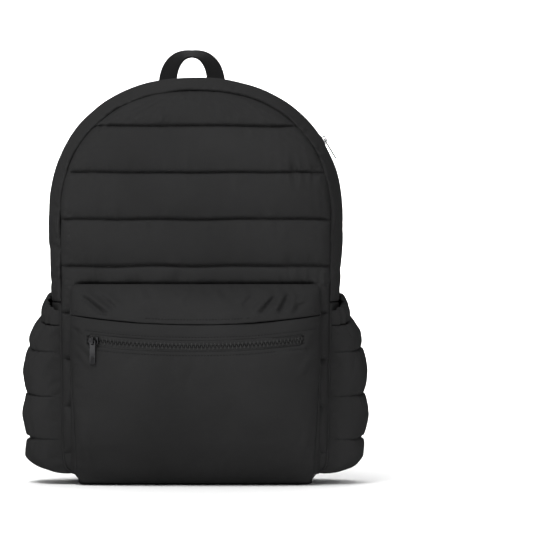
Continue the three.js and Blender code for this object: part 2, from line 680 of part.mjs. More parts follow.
// Side pockets: rows up the wall, as shares of the pocket's height and bulge
const SIDE_ROWS = [
  { height: 0, bulge: -0.2, quilt: 0 },
  { height: 0.005, bulge: 0.45, quilt: 0 },
  { height: 0.03, bulge: 0.72, quilt: 0 },
  { height: 0.11, bulge: 0.92, quilt: 0.6 },
  { height: 0.23, bulge: 0.95, quilt: 0 },
  { height: 0.32, bulge: 0.97, quilt: 0.8 },
  { height: 0.42, bulge: 0.98, quilt: 0.8 },
  { height: 0.52, bulge: 0.96, quilt: 0 },
  { height: 0.62, bulge: 0.95, quilt: 1 },
  { height: 0.72, bulge: 0.92, quilt: 0.8 },
  { height: 0.82, bulge: 0.84, quilt: 0 },
  { height: 0.92, bulge: 0.66, quilt: 0.5 },
  { height: 1, bulge: 0.38, quilt: 0 },
];
const SIDE_SECTION_POWER = 2.8;

// A point on a side pocket's section; share runs from its front seam to its back seam
function onSidePocket(side, z, bulge, share) {
  const angle = share * Math.PI;
  const middleY = (SIDE_POCKET_FRONT_Y + SIDE_POCKET_BACK_Y) / 2;
  const halfY = (SIDE_POCKET_BACK_Y - SIDE_POCKET_FRONT_Y) / 2;
  const shrink = (value) => Math.sign(value) * Math.abs(value) ** (2 / SIDE_SECTION_POWER);
  const y = middleY - halfY * shrink(Math.cos(angle));
  const wallX = outline(WIDE_RING, riseOf(Math.max(z, BASE_HEIGHT))).x;
  const seamX = outline(ringAt(y), riseOf(Math.max(z, BASE_HEIGHT))).x - 4;
  const slope = CUFF_SLOPE * (y - middleY) / (2 * halfY) * riseOf(z) / riseOf(SIDE_POCKET_TOP_Z);
  const reach = Math.max(wallX + bulge - seamX, 0);
  return point(side * (seamX + reach * shrink(Math.sin(angle))), y, z + slope);
}

// Moves a grid's points inwards along its own surface
function insetGrid(grid, depth, side) {
  const rows = grid.length - 1;
  const columns = grid[0].length - 1;
  return grid.map((row, i) => row.map((at, j) => {
    const up = grid[Math.min(i + 1, rows)][j].clone().sub(grid[Math.max(i - 1, 0)][j]);
    const along = row[Math.min(j + 1, columns)].clone().sub(row[Math.max(j - 1, 0)]);
    const normal = up.cross(along).normalize().multiplyScalar(side * depth);
    return at.clone().add(normal);
  }));
}

function addSidePocket(name, side, block) {
  const columns = steps(14);
  const rows = SIDE_ROWS.map(({ height, bulge, quilt }) => columns.map((share) => {
    const z = mix(SIDE_POCKET_BOTTOM_Z, SIDE_POCKET_TOP_Z, height);
    const puff = SIDE_POCKET_PUFF * quilt * Math.sin(share * Math.PI) ** 0.5;
    return onSidePocket(side, z, SIDE_POCKET_BULGE * bulge + puff, share);
  }));
  const shell = wallBetween(rows, insetGrid(rows, POCKET_WALL, side));
  add(`side_pocket_${name}`, cut(shell, block), FABRIC);

  const cuffColumns = steps(CUFF_PLEATS * 4);
  const low = SIDE_POCKET_TOP_Z + SEAM_GAP;
  const cuff = [0, 0.5, 1].map((height) => cuffColumns.map((share) => {
    const pleat = Math.cos(share * CUFF_PLEATS * 2 * Math.PI);
    const bulge = CUFF_BULGE * (1 - 0.12 * height) + CUFF_PLEAT_DEPTH * (height === 0.5 ? pleat : 0.5 * pleat);
    return onSidePocket(side, low + CUFF_HEIGHT * height, bulge, share);
  }));
  const casing = wallBetween(cuff, insetGrid(cuff, CUFF_WALL, side));
  add(`side_pocket_cuff_${name}`, cut(casing, block), FABRIC);
}

// A flat strip's section, centred on a point, with a width and a thickness direction
function stripSection(at, widthWay, width, thickWay, thick) {
  return [[-1, -1], [1, -1], [1, 1], [-1, 1]].map(([across, through]) => at.clone()
    .addScaledVector(widthWay, across * width / 2).addScaledVector(thickWay, through * thick / 2));
}

// Grab handle: the webbing faces the front at its legs and turns edge-on over the top
function addHandle(block) {
  const lean = degrees(HANDLE_LEAN);
  const up = point(0, Math.sin(lean), Math.cos(lean));
  const facing = point(0, Math.cos(lean), -Math.sin(lean));
  const root = point(HANDLE_X, BACK_Y + WEBBING_THICK, WIDE_TOP - BACK_CROWN - 8);
  const legRise = HANDLE_RISE * HANDLE_LEG_SHARE;
  const pathAt = (share) => {
    const arch = THREE.MathUtils.clamp((share - 0.2) / 0.6, 0, 1);
    const angle = Math.PI * (1 - arch);
    const legs = share < 0.2 ? legRise * share / 0.2 : legRise * Math.min((1 - share) / 0.2, 1);
    const lift = legs + (HANDLE_RISE - legRise) * Math.sin(angle);
    return root.clone().add(point(HANDLE_SPREAD * Math.cos(angle), 0, 0)).addScaledVector(up, lift);
  };
  const sections = steps(20).map((share) => {
    const reach = 0.01;
    const along = pathAt(Math.min(share + reach, 1)).sub(pathAt(Math.max(share - reach, 0))).normalize();
    const side = along.clone().cross(facing);
    const turn = Math.PI / 2 * THREE.MathUtils.smoothstep(1 - Math.abs(share - 0.5) * 2, 0.35, 0.95);
    const widthWay = side.clone().multiplyScalar(Math.cos(turn)).addScaledVector(facing, Math.sin(turn));
    const thickWay = along.clone().cross(widthWay);
    return stripSection(pathAt(share), widthWay, HANDLE_WIDTH, thickWay, WEBBING_THICK);
  });
  add('grab_handle', cut(loft(sections), block, backBlock(SEAM_GAP)), WEBBING);
}

// Shoulder pad: its line behind the back, as shares of the strap's reach and drop
const PAD_LINE = [
  { out: -0.06, down: 0.0, swell: 0.45 },
  { out: 0.13, down: -0.022, swell: 0.7 },
  { out: 0.34, down: 0.015, swell: 0.95 },
  { out: 0.57, down: 0.09, swell: 1 },
  { out: 0.76, down: 0.2, swell: 1 },
  { out: 0.88, down: 0.32, swell: 1 },
  { out: 0.95, down: 0.45, swell: 1 },
  { out: 0.99, down: 0.58, swell: 1 },
  { out: 1.0, down: 0.72, swell: 1 },
  { out: 0.98, down: 0.86, swell: 0.95 },
  { out: 0.93, down: 0.97, swell: 0.8 },
  { out: 0.915, down: 1.0, swell: 0.6 },
];
const PAD_SECTION = [
  { across: -0.5, through: 0 },
  { across: -0.46, through: 0.36 },
  { across: -0.32, through: 0.5 },
  { across: 0.32, through: 0.5 },
  { across: 0.46, through: 0.36 },
  { across: 0.5, through: 0 },
  { across: 0.46, through: -0.36 },
  { across: 0.32, through: -0.5 },
  { across: -0.32, through: -0.5 },
  { across: -0.46, through: -0.36 },
];
const BACK_PLANE_Y = BACK_INNER_Y + BACK_CROWN;

function padPoint(name, row) {
  return point(0, BACK_PLANE_Y + STRAP_REACH[name] * row.out, STRAP_TOP_Z - STRAP_DROP[name] * row.down);
}

// A strip of webbing that keeps one width along X and follows a line of points in the YZ plane
function webbing(line, width, thick) {
  const last = line.length - 1;
  const sections = line.map((at, index) => {
    const before = at.clone().sub(line[Math.max(index - 1, 0)]).normalize();
    const after = line[Math.min(index + 1, last)].clone().sub(at).normalize();
    const along = before.clone().add(after).normalize();
    const edge = index === 0 ? after : before;
    const miter = index === 0 || index === last ? 1 : Math.max(along.dot(edge), 0.5);
    const through = point(1, 0, 0).cross(along);
    return stripSection(at, point(1, 0, 0), width, through, thick / miter);
  });
  return loft(sections);
}

function addStrap(name, side, block) {
  const group = new THREE.Group();
  group.position.x = side * STRAP_X;
  part.add(group);
  const padLine = PAD_LINE.map((row) => padPoint(name, row));
  // The pad, or the pad a clearance larger all round, which trims what is sewn to its end
  const padBody = (clearance) => {
    const sections = padLine.map((at, index) => {
      const before = padLine[Math.max(index - 1, 0)];
      const after = padLine[Math.min(index + 1, padLine.length - 1)];
      const along = after.clone().sub(before).normalize();
      const through = point(1, 0, 0).cross(along);
      const { swell } = PAD_LINE[index];
      const width = PAD_WIDTH * mix(0.86, 1, THREE.MathUtils.smoothstep(swell, 0.4, 1)) + 2 * clearance;
      const thick = PAD_THICK * swell + 2 * clearance;
      const past = index === padLine.length - 1 ? clearance : 0;
      return PAD_SECTION.map((corner) => at.clone().addScaledVector(along, past)
        .add(point(corner.across * width, 0, 0)).addScaledVector(through, corner.through * thick));
    });
    return loft(sections);
  };
  const blocks = [block, backBlock(SEAM_GAP)].map((cutter) => cutter.clone().translate(-side * STRAP_X, 0, 0));
  add(`shoulder_pad_${name}`, cut(padBody(0), ...blocks), FABRIC, group);

  // The lock hangs below the pad's end. Its own axes: up the strap, and out, away from the back.
  const tilt = degrees(LOCK_TILT[name]);
  const up = point(0, Math.sin(tilt), Math.cos(tilt));
  const out = point(0, Math.cos(tilt), -Math.sin(tilt));
  const padEnd = padLine[padLine.length - 1];
  const loopReach = LOCK_HEIGHT / 2 + 5;
  const centre = padEnd.clone().addScaledVector(up, -loopReach - SEAM_GAP);
  const place = (rise, away) => centre.clone().addScaledVector(up, rise).addScaledVector(out, away);
  const slotHalf = WEB_WIDTH / 2 + LOCK_SLOT_PLAY;
  const openHeight = (LOCK_HEIGHT - 3 * LOCK_BAR) / 2;
  const slotHole = (low) => {
    const hole = new THREE.Path();
    hole.moveTo(-slotHalf, low);
    hole.lineTo(slotHalf, low);
    hole.lineTo(slotHalf, low + openHeight);
    hole.lineTo(-slotHalf, low + openHeight);
    hole.closePath();
    return hole;
  };
  const frame = new THREE.Shape();
  const [halfW, halfH, corner] = [LOCK_WIDTH / 2, LOCK_HEIGHT / 2, LOCK_BAR / 2];
  frame.moveTo(-halfW + corner, -halfH);
  frame.lineTo(halfW - corner, -halfH);
  frame.lineTo(halfW, -halfH + corner);
  frame.lineTo(halfW, halfH - corner);
  frame.lineTo(halfW - corner, halfH);
  frame.lineTo(-halfW + corner, halfH);
  frame.lineTo(-halfW, halfH - corner);
  frame.lineTo(-halfW, -halfH + corner);
  frame.closePath();
  frame.holes.push(slotHole(LOCK_BAR / 2), slotHole(-halfH + LOCK_BAR));
  const lock = new THREE.ExtrudeGeometry(frame, { depth: LOCK_THICK, bevelEnabled: false });
  lock.translate(0, 0, -LOCK_THICK / 2);
  const turn = new THREE.Matrix4().makeBasis(point(1, 0, 0), up, point(1, 0, 0).cross(up));
  add(`ladder_lock_${name}`, bodyOf(triangleList(lock.applyMatrix4(turn.setPosition(centre)))), PLASTIC,
    group);

  // A loop of webbing from the pad's end goes round the lock's top bar
  const clear = LOCK_THICK / 2 + WEB_THICK / 2 + 2 * SEAM_GAP;
  const loopTop = loopReach + PAD_THICK / 4;
  const turnLow = halfH - LOCK_BAR - WEB_THICK / 2 - 2 * SEAM_GAP;
  const loopLine = [place(loopTop, clear), place(turnLow + 1, clear), place(turnLow, clear - 1),
    place(turnLow, 1 - clear), place(turnLow + 1, -clear), place(loopTop, -clear)];
  add(`lock_loop_${name}`, cut(webbing(loopLine, WEB_WIDTH, WEB_THICK), padBody(SEAM_GAP)), WEBBING, group);

  // Anchor tab: sewn into the seam under the back panel, and leaning out behind it
  const tabRoot = point(0, BACK_INNER_Y + BACK_EDGE, ANCHOR_ROOT_Z);
  const tabTip = point(0, BACK_PLANE_Y + ANCHOR_OUT, ANCHOR_TIP_Z);
  const tabAlong = tabTip.clone().sub(tabRoot).normalize();
  const tabOut = point(1, 0, 0).cross(tabAlong).negate();
  const tab = loft([
    stripSection(tabRoot, point(1, 0, 0), ANCHOR_WIDTH, tabOut, ANCHOR_THICK),
    stripSection(tabTip, point(1, 0, 0), WEB_WIDTH, tabOut, ANCHOR_THICK),
  ]);
  const seatBlock = box(-ANCHOR_WIDTH, ANCHOR_WIDTH, 0, BACK_INNER_Y + BACK_EDGE + SEAM_GAP, 0,
    ANCHOR_ROOT_Z + 40);
  add(`strap_anchor_${name}`, cut(tab, seatBlock, blocks[1]), WEBBING, group);

  // Adjusting webbing: from the tab up behind the lock, round its middle bar, and down as a loose tail
  const lift = (ANCHOR_THICK + WEB_THICK) / 2 + SEAM_GAP;
  const onTab = (share) => tabRoot.clone().lerp(tabTip, share).addScaledVector(tabOut, lift);
  const barTop = LOCK_BAR / 2 + WEB_THICK / 2 + 2 * SEAM_GAP;
  const lowEnd = place(-halfH - 2, -clear);
  const leave = onTab(1).addScaledVector(tabAlong, 3);
  const pull = lowEnd.clone().sub(leave);
  const sagDown = pull.length() * 0.12;
  const between = [0.25, 0.5, 0.75].map((share) => leave.clone().addScaledVector(pull, share)
    .add(point(0, 0, -sagDown * Math.sin(share * Math.PI))));
  const webLine = [onTab(0.6), onTab(1), leave, ...between, lowEnd, place(barTop - 1, -clear),
    place(barTop, 1 - clear), place(barTop, clear - 1), place(barTop - 1, clear),
    place(-halfH, clear), place(-halfH - TAIL_LENGTH / 2, clear + 1), place(-halfH - TAIL_LENGTH, clear + 4)];
  add(`strap_webbing_${name}`, webbing(webLine, WEB_WIDTH, WEB_THICK), WEBBING, group);
}

addFrontPanel();
addBands();
addSideWalls();
addBackPanel();
addBasePanel();
addMainZip();
addFrontPocket();
addPocketZip();
const block = bodyBlock(SEAM_GAP);
addSidePocket('left', -1, block);
addSidePocket('right', 1, block);
addHandle(block);
addStrap('left', -1, block);
addStrap('right', 1, block);

export default part;
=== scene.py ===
"""Quilted puffer backpack: its cloth, webbing, zips and buckles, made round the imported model."""
import math

import bmesh
import bpy
import numpy as np
from bpy.props import FloatProperty, FloatVectorProperty, PointerProperty
from mathutils import Matrix, Vector
from mathutils.bvhtree import BVHTree


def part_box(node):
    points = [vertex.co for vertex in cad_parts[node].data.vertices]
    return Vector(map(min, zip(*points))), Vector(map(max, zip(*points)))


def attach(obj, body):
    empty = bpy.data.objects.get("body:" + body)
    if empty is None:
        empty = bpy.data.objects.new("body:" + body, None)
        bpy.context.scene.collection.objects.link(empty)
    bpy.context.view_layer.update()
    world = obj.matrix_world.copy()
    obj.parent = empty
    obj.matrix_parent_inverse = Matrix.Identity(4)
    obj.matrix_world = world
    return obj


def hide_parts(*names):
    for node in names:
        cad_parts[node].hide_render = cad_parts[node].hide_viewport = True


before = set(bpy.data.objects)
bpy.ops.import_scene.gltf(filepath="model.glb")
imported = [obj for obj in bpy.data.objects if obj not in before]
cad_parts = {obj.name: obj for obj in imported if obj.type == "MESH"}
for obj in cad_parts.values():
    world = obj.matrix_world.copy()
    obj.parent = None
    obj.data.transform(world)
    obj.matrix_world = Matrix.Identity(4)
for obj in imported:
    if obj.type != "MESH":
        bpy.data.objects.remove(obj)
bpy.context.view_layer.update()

bl_info = {
    "name": "Quilted Puffer Backpack",
    "version": (1, 0, 0),
    "blender": (4, 5, 0),
    "location": "View3D > Sidebar > Backpack",
    "description": "Builds a quilted backpack piece by piece round its packed model",
    "category": "Add Mesh",
}

BAG = "bag"
MM = 0.001


def node_box(node):
    """The lowest and highest corner of a node of the model, in millimetres."""
    low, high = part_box(node)
    return np.array(low) / MM, np.array(high) / MM


# Sizes read from the model, in millimetres
FRONT_LOW, FRONT_HIGH = node_box("front_panel")
BAND_LOW, BAND_HIGH = node_box("zip_band_front")
REAR_LOW, REAR_HIGH = node_box("zip_band_rear")
CHAIN_LOW, CHAIN_HIGH = node_box("main_zip_chain")

# Sizes that the model's outlines follow, in millimetres
SPRING_Z = 290.0
ARCH_POWER = 2.25
BASE_HALF = 128.0
BASE_HALF_DEPTH = 79.0
BASE_HEIGHT = 9.5
SWELL_POWER = 2.5
SEAM_GAP = 0.3
QUILT_PUFF = 5.0
FRONT_Y = FRONT_HIGH[1]
BACK_Y = REAR_HIGH[1]
ZIP_Y = (CHAIN_LOW[1] + CHAIN_HIGH[1]) / 2
FRONT_RING = (FRONT_HIGH[0] - 0.5, FRONT_HIGH[2] - 2)
WIDE_RING = (BAND_HIGH[0], BAND_HIGH[2])
BACK_RING = (141.0, 436.0)
BAND_END_Z = BAND_LOW[2]

# Half-width of the body's sides, as shares of the rise and of the way to a ring's half-width
FLARE_RISE = (0.0, 0.012, 0.03, 0.07, 0.18, 0.45, 0.8, 1.0)
FLARE_OUT = (0.0, 0.5, 0.7, 0.81, 0.86, 0.89, 0.955, 1.0)

# The photograph's frame: its width in pixels, the pixel over the bag's middle and its scale
PHOTO_SIDE = 533
PHOTO_MIDDLE_X = 195.5
PHOTO_FLOOR_Y = 482.5
PHOTO_LIFT = 1.0
MM_PER_PIXEL = 1.11
SENSOR = 36.0


# Noise with fixed seeds

def smooth_noise(points, scale, seed):
    """A smooth field of about -1 to 1 at an array of points, from a few seeded waves."""
    maker = np.random.default_rng(seed)
    total = np.zeros(points.shape[:-1])
    for _ in range(7):
        direction = maker.normal(size=points.shape[-1])
        direction *= maker.uniform(0.6, 1.6) / (np.linalg.norm(direction) * scale)
        total += np.sin(2 * math.pi * (points @ direction + maker.uniform()))
    return total / 3.5


def curve_at(knots, values, at):
    """A smooth curve through a table that never overshoots it (Fritsch and Carlson's slopes)."""
    knots, values, at = (np.asarray(v, float) for v in (knots, values, at))
    span = np.diff(knots)
    slope = np.diff(values) / span
    tangent = np.zeros(len(knots))
    same = slope[:-1] * slope[1:] > 0
    first, second = 2 * span[1:] + span[:-1], span[1:] + 2 * span[:-1]
    before, after = np.where(same, slope[:-1], 1), np.where(same, slope[1:], 1)
    tangent[1:-1] = np.where(same, (first + second) / (first / before + second / after), 0)
    tangent[0], tangent[-1] = slope[0], slope[-1]
    row = np.clip(np.searchsorted(knots, at, side="right") - 1, 0, len(span) - 1)
    t = np.clip((at - knots[row]) / span[row], 0, 1)
    return ((2 * t ** 3 - 3 * t ** 2 + 1) * values[row]
            + (t ** 3 - 2 * t ** 2 + t) * span[row] * tangent[row]
            + (3 * t ** 2 - 2 * t ** 3) * values[row + 1]
            + (t ** 3 - t ** 2) * span[row] * tangent[row + 1])


def run_along(line):
    """Distance along a line of points, from its start to each of them."""
    return np.concatenate([[0], np.cumsum(np.linalg.norm(np.diff(line, axis=0), axis=1))])


def rounded_rectangle(half_x, half_y, radius, count):
    """A closed loop of points round a rectangle with rounded corners."""
    corner = np.linspace(0, math.pi / 2, count // 8)
    between = np.linspace(0, 1, count // 4 - len(corner) + 2)[1:-1, None]
    middles = np.array([(1, 1), (-1, 1), (-1, -1), (1, -1)]) * [half_x - radius, half_y - radius]
    sides = []
    for turn, (middle, following) in enumerate(zip(middles, np.roll(middles, -1, axis=0))):
        way = corner + turn * math.pi / 2
        rim = radius * np.stack([np.cos(way), np.sin(way)], axis=-1)
        start, end = middle + rim[-1], following + rim[-1]
        sides.extend([middle + rim, start + (end - start) * between])
    return np.concatenate(sides)


# Outlines of the body

def flare(rise):
    return np.interp(rise, FLARE_RISE, FLARE_OUT)


def ring_at(y):
    """Half-width and top of the body's outline at a depth."""
    front = y < ZIP_Y
    seam_half = np.where(front, FRONT_RING[0], BACK_RING[0])
    seam_top = np.where(front, FRONT_RING[1], BACK_RING[1])
    share = np.where(front, (y - FRONT_Y) / (ZIP_Y - FRONT_Y), (BACK_Y - y) / (BACK_Y - ZIP_Y))
    swell = 1 - (1 - np.clip(share, 0, 1)) ** SWELL_POWER
    return (seam_half + (WIDE_RING[0] - seam_half) * swell,
            seam_top + (WIDE_RING[1] - seam_top) * swell)


def outline(ring, rise):
    """X and Z of an outline. The rise is 0 at the base, 1 at the spring line and 2 at the top."""
    half, top = ring
    low = np.clip(rise, 0, 1)
    angle = np.clip(rise - 1, 0, 1) * math.pi / 2
    side_x = BASE_HALF + (half - BASE_HALF) * flare(low)
    side_z = BASE_HEIGHT + (SPRING_Z - BASE_HEIGHT) * low
    arch_x = half * np.clip(np.cos(angle), 0, 1) ** (2 / ARCH_POWER)
    arch_z = SPRING_Z + (top - SPRING_Z) * np.sin(angle) ** (2 / ARCH_POWER)
    return np.where(rise <= 1, side_x, arch_x), np.where(rise <= 1, side_z, arch_z)


def on_body(rise, side, y, inset=0.0):
    """Points on the body at a rise, a side and a depth, moved inwards by the inset."""
    given = (np.asarray(v, float) for v in (rise, side, y, inset))
    rise, side, y, inset = np.broadcast_arrays(*given)
    ring = ring_at(y)
    x, z = outline(ring, rise)
    reach = 0.02
    low_x, low_z = outline(ring, np.clip(rise - reach, 0, 2))
    high_x, high_z = outline(ring, np.clip(rise + reach, 0, 2))
    along_x, along_z = high_x - low_x, high_z - low_z
    along_x = np.where(rise > 2 - reach, -1.0, along_x)
    along_z = np.where(rise > 2 - reach, 0.0, along_z)
    length = np.hypot(along_x, along_z)
    moved_x, moved_z = x - inset * along_z / length, z + inset * along_x / length
    return np.stack([side * moved_x, y, moved_z], axis=-1)


def rise_of(z):
    return (z - BASE_HEIGHT) / (SPRING_Z - BASE_HEIGHT)


def half_of(ring, z):
    """Half-width of an outline at a height."""
    side_x, _ = outline(ring, np.clip(rise_of(z), 0, 1))
    lift = np.clip((z - SPRING_Z) / (ring[1] - SPRING_Z), 0, 1)
    return np.where(z <= SPRING_Z, side_x, ring[0] * (1 - lift ** ARCH_POWER) ** (1 / ARCH_POWER))


def top_of(ring, x):
    share = np.clip(np.abs(x) / ring[0], 0, 1)
    return SPRING_Z + (ring[1] - SPRING_Z) * (1 - share ** ARCH_POWER) ** (1 / ARCH_POWER)


def outline_share(ring, x, z):
    """0 on a panel's middle line, 1 on its outline."""
    lift = np.clip(z - SPRING_Z, 0, None) / (ring[1] - SPRING_Z)
    half = np.where(z > SPRING_Z, ring[0], half_of(ring, np.minimum(z, SPRING_Z)))
    total = (np.abs(x) / half) ** ARCH_POWER + lift ** ARCH_POWER
    return np.clip(total ** (1 / ARCH_POWER), 0, 1)


def stations(start_rise, count_side, count_arch):
    """Rises and sides from the right end of a band, over the top, to its left end."""
    sides = np.linspace(start_rise, 1, count_side, endpoint=False)
    arch = np.linspace(1, 2, count_arch)
    right = np.concatenate([sides, arch])
    rise = np.concatenate([right, right[-2::-1]])
    side = np.concatenate([np.ones(len(right)), -np.ones(len(right) - 1)])
    return rise, side


# Meshes

def mesh_object(name, verts, faces, uvs=None):
    """A mesh object from points in millimetres, with an optional UV for each vertex."""
    mesh = bpy.data.meshes.new(name)
    mesh.from_pydata([tuple(p) for p in np.asarray(verts) * MM], [], [tuple(f) for f in faces])
    mesh.update()
    if uvs is not None:
        layer = mesh.uv_layers.new(name="surface")
        loops = np.empty(len(mesh.loops), int)
        mesh.loops.foreach_get("vertex_index", loops)
        layer.data.foreach_set("uv", np.asarray(uvs)[loops].astype(np.float32).ravel())
    mesh.polygons.foreach_set("use_smooth", [True] * len(mesh.polygons))
    obj = bpy.data.objects.new(name, mesh)
    bpy.context.scene.collection.objects.link(obj)
    return obj


def grid_faces(rows, columns, closed=False, skip=()):
    """Quads of a grid of points. closed joins its last column to its first."""
    faces = []
    span = columns if closed else columns - 1
    for i in range(rows - 1):
        for j in range(span):
            if (i, j) in skip:
                continue
            k = (j + 1) % columns
            row, above = i * columns, (i + 1) * columns
            faces.append((row + j, row + k, above + k, above + j))
    return faces


def grid_uvs(points):
    """Distances across and along a grid, in millimetres."""
    across = np.zeros(points.shape[:2])
    across[:, 1:] = np.cumsum(np.linalg.norm(np.diff(points, axis=1), axis=2), axis=1)
    along = np.zeros(points.shape[:2])
    along[1:, :] = np.cumsum(np.linalg.norm(np.diff(points, axis=0), axis=2), axis=0)
    return np.stack([across, along], axis=-1).reshape(-1, 2)


def grid_object(name, points, outward, skip=(), closed=False):
    """A sheet over a grid of points, with its normals towards the side that outward gives."""
    rows, columns = points.shape[:2]
    faces = grid_faces(rows, columns, closed, skip)
    obj = mesh_object(name, points.reshape(-1, 3), faces, grid_uvs(points))
    face_outward(obj, outward)
    return obj


def face_outward(obj, outward):
    """Turns the mesh's faces so that on the whole they look along outward(centres)."""
    mesh = obj.data
    centres = np.array([tuple(p.center) for p in mesh.polygons]) / MM
    normals = np.array([tuple(p.normal) for p in mesh.polygons])
    areas = np.array([p.area for p in mesh.polygons])
    wanted = outward(centres)
    if np.sum(np.sum(normals * wanted, axis=1) * areas) < 0:
        mesh.flip_normals()


def towards(*way):
    """The same outward direction at every place."""
    return lambda centres: centres * 0 + way


def active(obj):
    bpy.ops.object.select_all(action="DESELECT")
    obj.select_set(True)
    bpy.context.view_layer.objects.active = obj


def apply_modifiers(obj):
    active(obj)
    for modifier in list(obj.modifiers):
        bpy.ops.object.modifier_apply(modifier=modifier.name)


def finish_cloth(obj, wall):
    """Gives a sheet its wall, inwards from its outer face, and rounds it all over."""
    solid = obj.modifiers.new("Solidify", "SOLIDIFY")
    solid.thickness = wall * MM
    solid.offset = -1
    smooth = obj.modifiers.new("Subdivision", "SUBSURF")
    smooth.levels = 1
    smooth.render_levels = 1
    apply_modifiers(obj)
    obj.data.polygons.foreach_set("use_smooth", [True] * len(obj.data.polygons))


def fill_with_air(obj, pins, pressure, growth, limit, frames=22, bending=0.4):
    """Fills a sewn sheet by cloth simulation: pinned vertices stay, none moves past the limit."""
    mesh = obj.data
    start = np.empty(len(mesh.vertices) * 3)
    mesh.vertices.foreach_get("co", start)
    group = obj.vertex_groups.new(name="sewn")
    for weight in sorted(set(pins.tolist())):
        if weight > 0:
            group.add([int(v) for v in np.flatnonzero(pins == weight)], float(weight), "REPLACE")
    cloth = obj.modifiers.new("Cloth", "CLOTH")
    settings = cloth.settings
    settings.quality = 5
    settings.mass = 0.15
    settings.tension_stiffness = 15
    settings.compression_stiffness = 8
    settings.shear_stiffness = 4
    settings.bending_stiffness = bending
    settings.vertex_group_mass = group.name
    settings.shrink_min = -growth
    settings.use_pressure = True
    settings.uniform_pressure_force = pressure
    settings.effector_weights.gravity = 0
    cloth.collision_settings.use_collision = False
    cloth.point_cache.frame_start = 1
    cloth.point_cache.frame_end = frames
    for frame_number in range(1, frames + 1):
        bpy.context.scene.frame_set(frame_number)
    apply_modifiers(obj)
    obj.vertex_groups.clear()
    end = np.empty(len(obj.data.vertices) * 3)
    obj.data.vertices.foreach_get("co", end)
    move = (end - start).reshape(-1, 3)
    length = np.linalg.norm(move, axis=1, keepdims=True)
    move *= np.minimum(1, limit * MM / np.maximum(length, 1e-9))
    obj.data.vertices.foreach_set("co", (start.reshape(-1, 3) + move).ravel())
    obj.data.update()
    bpy.context.scene.frame_set(1)


def dress(obj, material, slot, *nodes, body=BAG):
    """Gives a piece its material and body, and hides the nodes of the model that it stands for; the
    slot is not used.
    """
    obj.data.materials.clear()
    obj.data.materials.append(material)
    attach(obj, body)
    if nodes:
        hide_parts(*nodes)
    return obj


# Materials

def put(tree, socket, value):
    """Gives a socket a value, or links another socket to it."""
    if isinstance(value, bpy.types.NodeSocket):
        tree.links.new(value, socket)
    else:
        socket.default_value = value


def add_node(tree, kind, settings=None, **inputs):
    """A node with its settings, and its inputs given by name as values or as links."""
    made = tree.nodes.new(kind)
    for key, value in (settings or {}).items():
        setattr(made, key, value)
    for key, value in inputs.items():
        put(tree, made.inputs[key.replace("_", " ")], value)
    return made


def calculate(tree, operation, *values):
    """The result of a calculation with values or links."""
    made = add_node(tree, "ShaderNodeMath", {"operation": operation})
    for socket, value in zip(made.inputs, values):
        put(tree, socket, value)
    return made.outputs[0]


def tinted(colour, share):
    """A colour made darker or lighter by a share."""
    return [channel * share for channel in colour]


def new_material(name):
    material = bpy.data.materials.new(name)
    material.use_nodes = True
    tree = material.node_tree
    shader = tree.nodes["Principled BSDF"]
    return material, tree, shader


def shade_between(tree, factor, dark, light):
    """A change of shade that follows a pattern."""
    ramp = add_node(tree, "ShaderNodeValToRGB", Fac=factor)
    for element, position, colour in zip(ramp.color_ramp.elements, (0.3, 0.7), (dark, light)):
        element.position = position
        element.color = (*colour, 1)
    return ramp.outputs["Color"]


def nylon_material(name, colour):
    """Soft satin nylon: a fine weave, small crinkles and a slow change of shade."""
    material, tree, shader = new_material(name)
    place = add_node(tree, "ShaderNodeTexCoord").outputs["Object"]
    patches = add_node(tree, "ShaderNodeTexNoise", Vector=place, Scale=9.0, Detail=3.0)
    crinkle = add_node(tree, "ShaderNodeTexNoise", Vector=place, Scale=75.0, Detail=5.0,
                       Roughness=0.55)
    grain = add_node(tree, "ShaderNodeTexNoise", Vector=place, Scale=1500.0, Detail=1.0)
    shade = shade_between(tree, patches.outputs["Fac"], tinted(colour, 0.9), tinted(colour, 1.1))
    tree.links.new(shade, shader.inputs["Base Color"])
    rough = add_node(tree, "ShaderNodeMapRange", Value=crinkle.outputs["Fac"],
                     To_Min=0.46, To_Max=0.6)
    tree.links.new(rough.outputs["Result"], shader.inputs["Roughness"])
    folds = add_node(tree, "ShaderNodeBump", Strength=0.35, Distance=0.0012,
                     Height=crinkle.outputs["Fac"])
    weave = add_node(tree, "ShaderNodeBump", Strength=0.25, Distance=0.00012,
                     Height=grain.outputs["Fac"], Normal=folds.outputs["Normal"])
    tree.links.new(weave.outputs["Normal"], shader.inputs["Normal"])
    shader.inputs["Specular IOR Level"].default_value = 0.0
    return material


def webbing_material(name, colour):
    """Ribbed webbing: ribs run across the strip, and rows of yarn along it."""
    material, tree, shader = new_material(name)
    across, along = 0, 1
    uv = add_node(tree, "ShaderNodeUVMap", {"uv_map": "surface"}).outputs["UV"]
    parts = add_node(tree, "ShaderNodeSeparateXYZ", Vector=uv)
    rib = wave_of(tree, parts.outputs[along], 1.5)
    yarn = wave_of(tree, parts.outputs[across], 0.9)
    weave = calculate(tree, "MULTIPLY", rib, yarn)
    shade = shade_between(tree, weave, tinted(colour, 0.75), tinted(colour, 1.2))
    tree.links.new(shade, shader.inputs["Base Color"])
    bump = add_node(tree, "ShaderNodeBump", Strength=0.6, Distance=0.0004, Height=weave)
    tree.links.new(bump.outputs["Normal"], shader.inputs["Normal"])
    shader.inputs["Roughness"].default_value = 0.75
    shader.inputs["Specular IOR Level"].default_value = 0.06
    return material


def wave_of(tree, value, period):
    """A wave from 0 to 1 with a period in millimetres."""
    scaled = calculate(tree, "MULTIPLY", value, 2 * math.pi / period)
    return calculate(tree, "MULTIPLY_ADD", calculate(tree, "SINE", scaled), 0.5, 0.5)


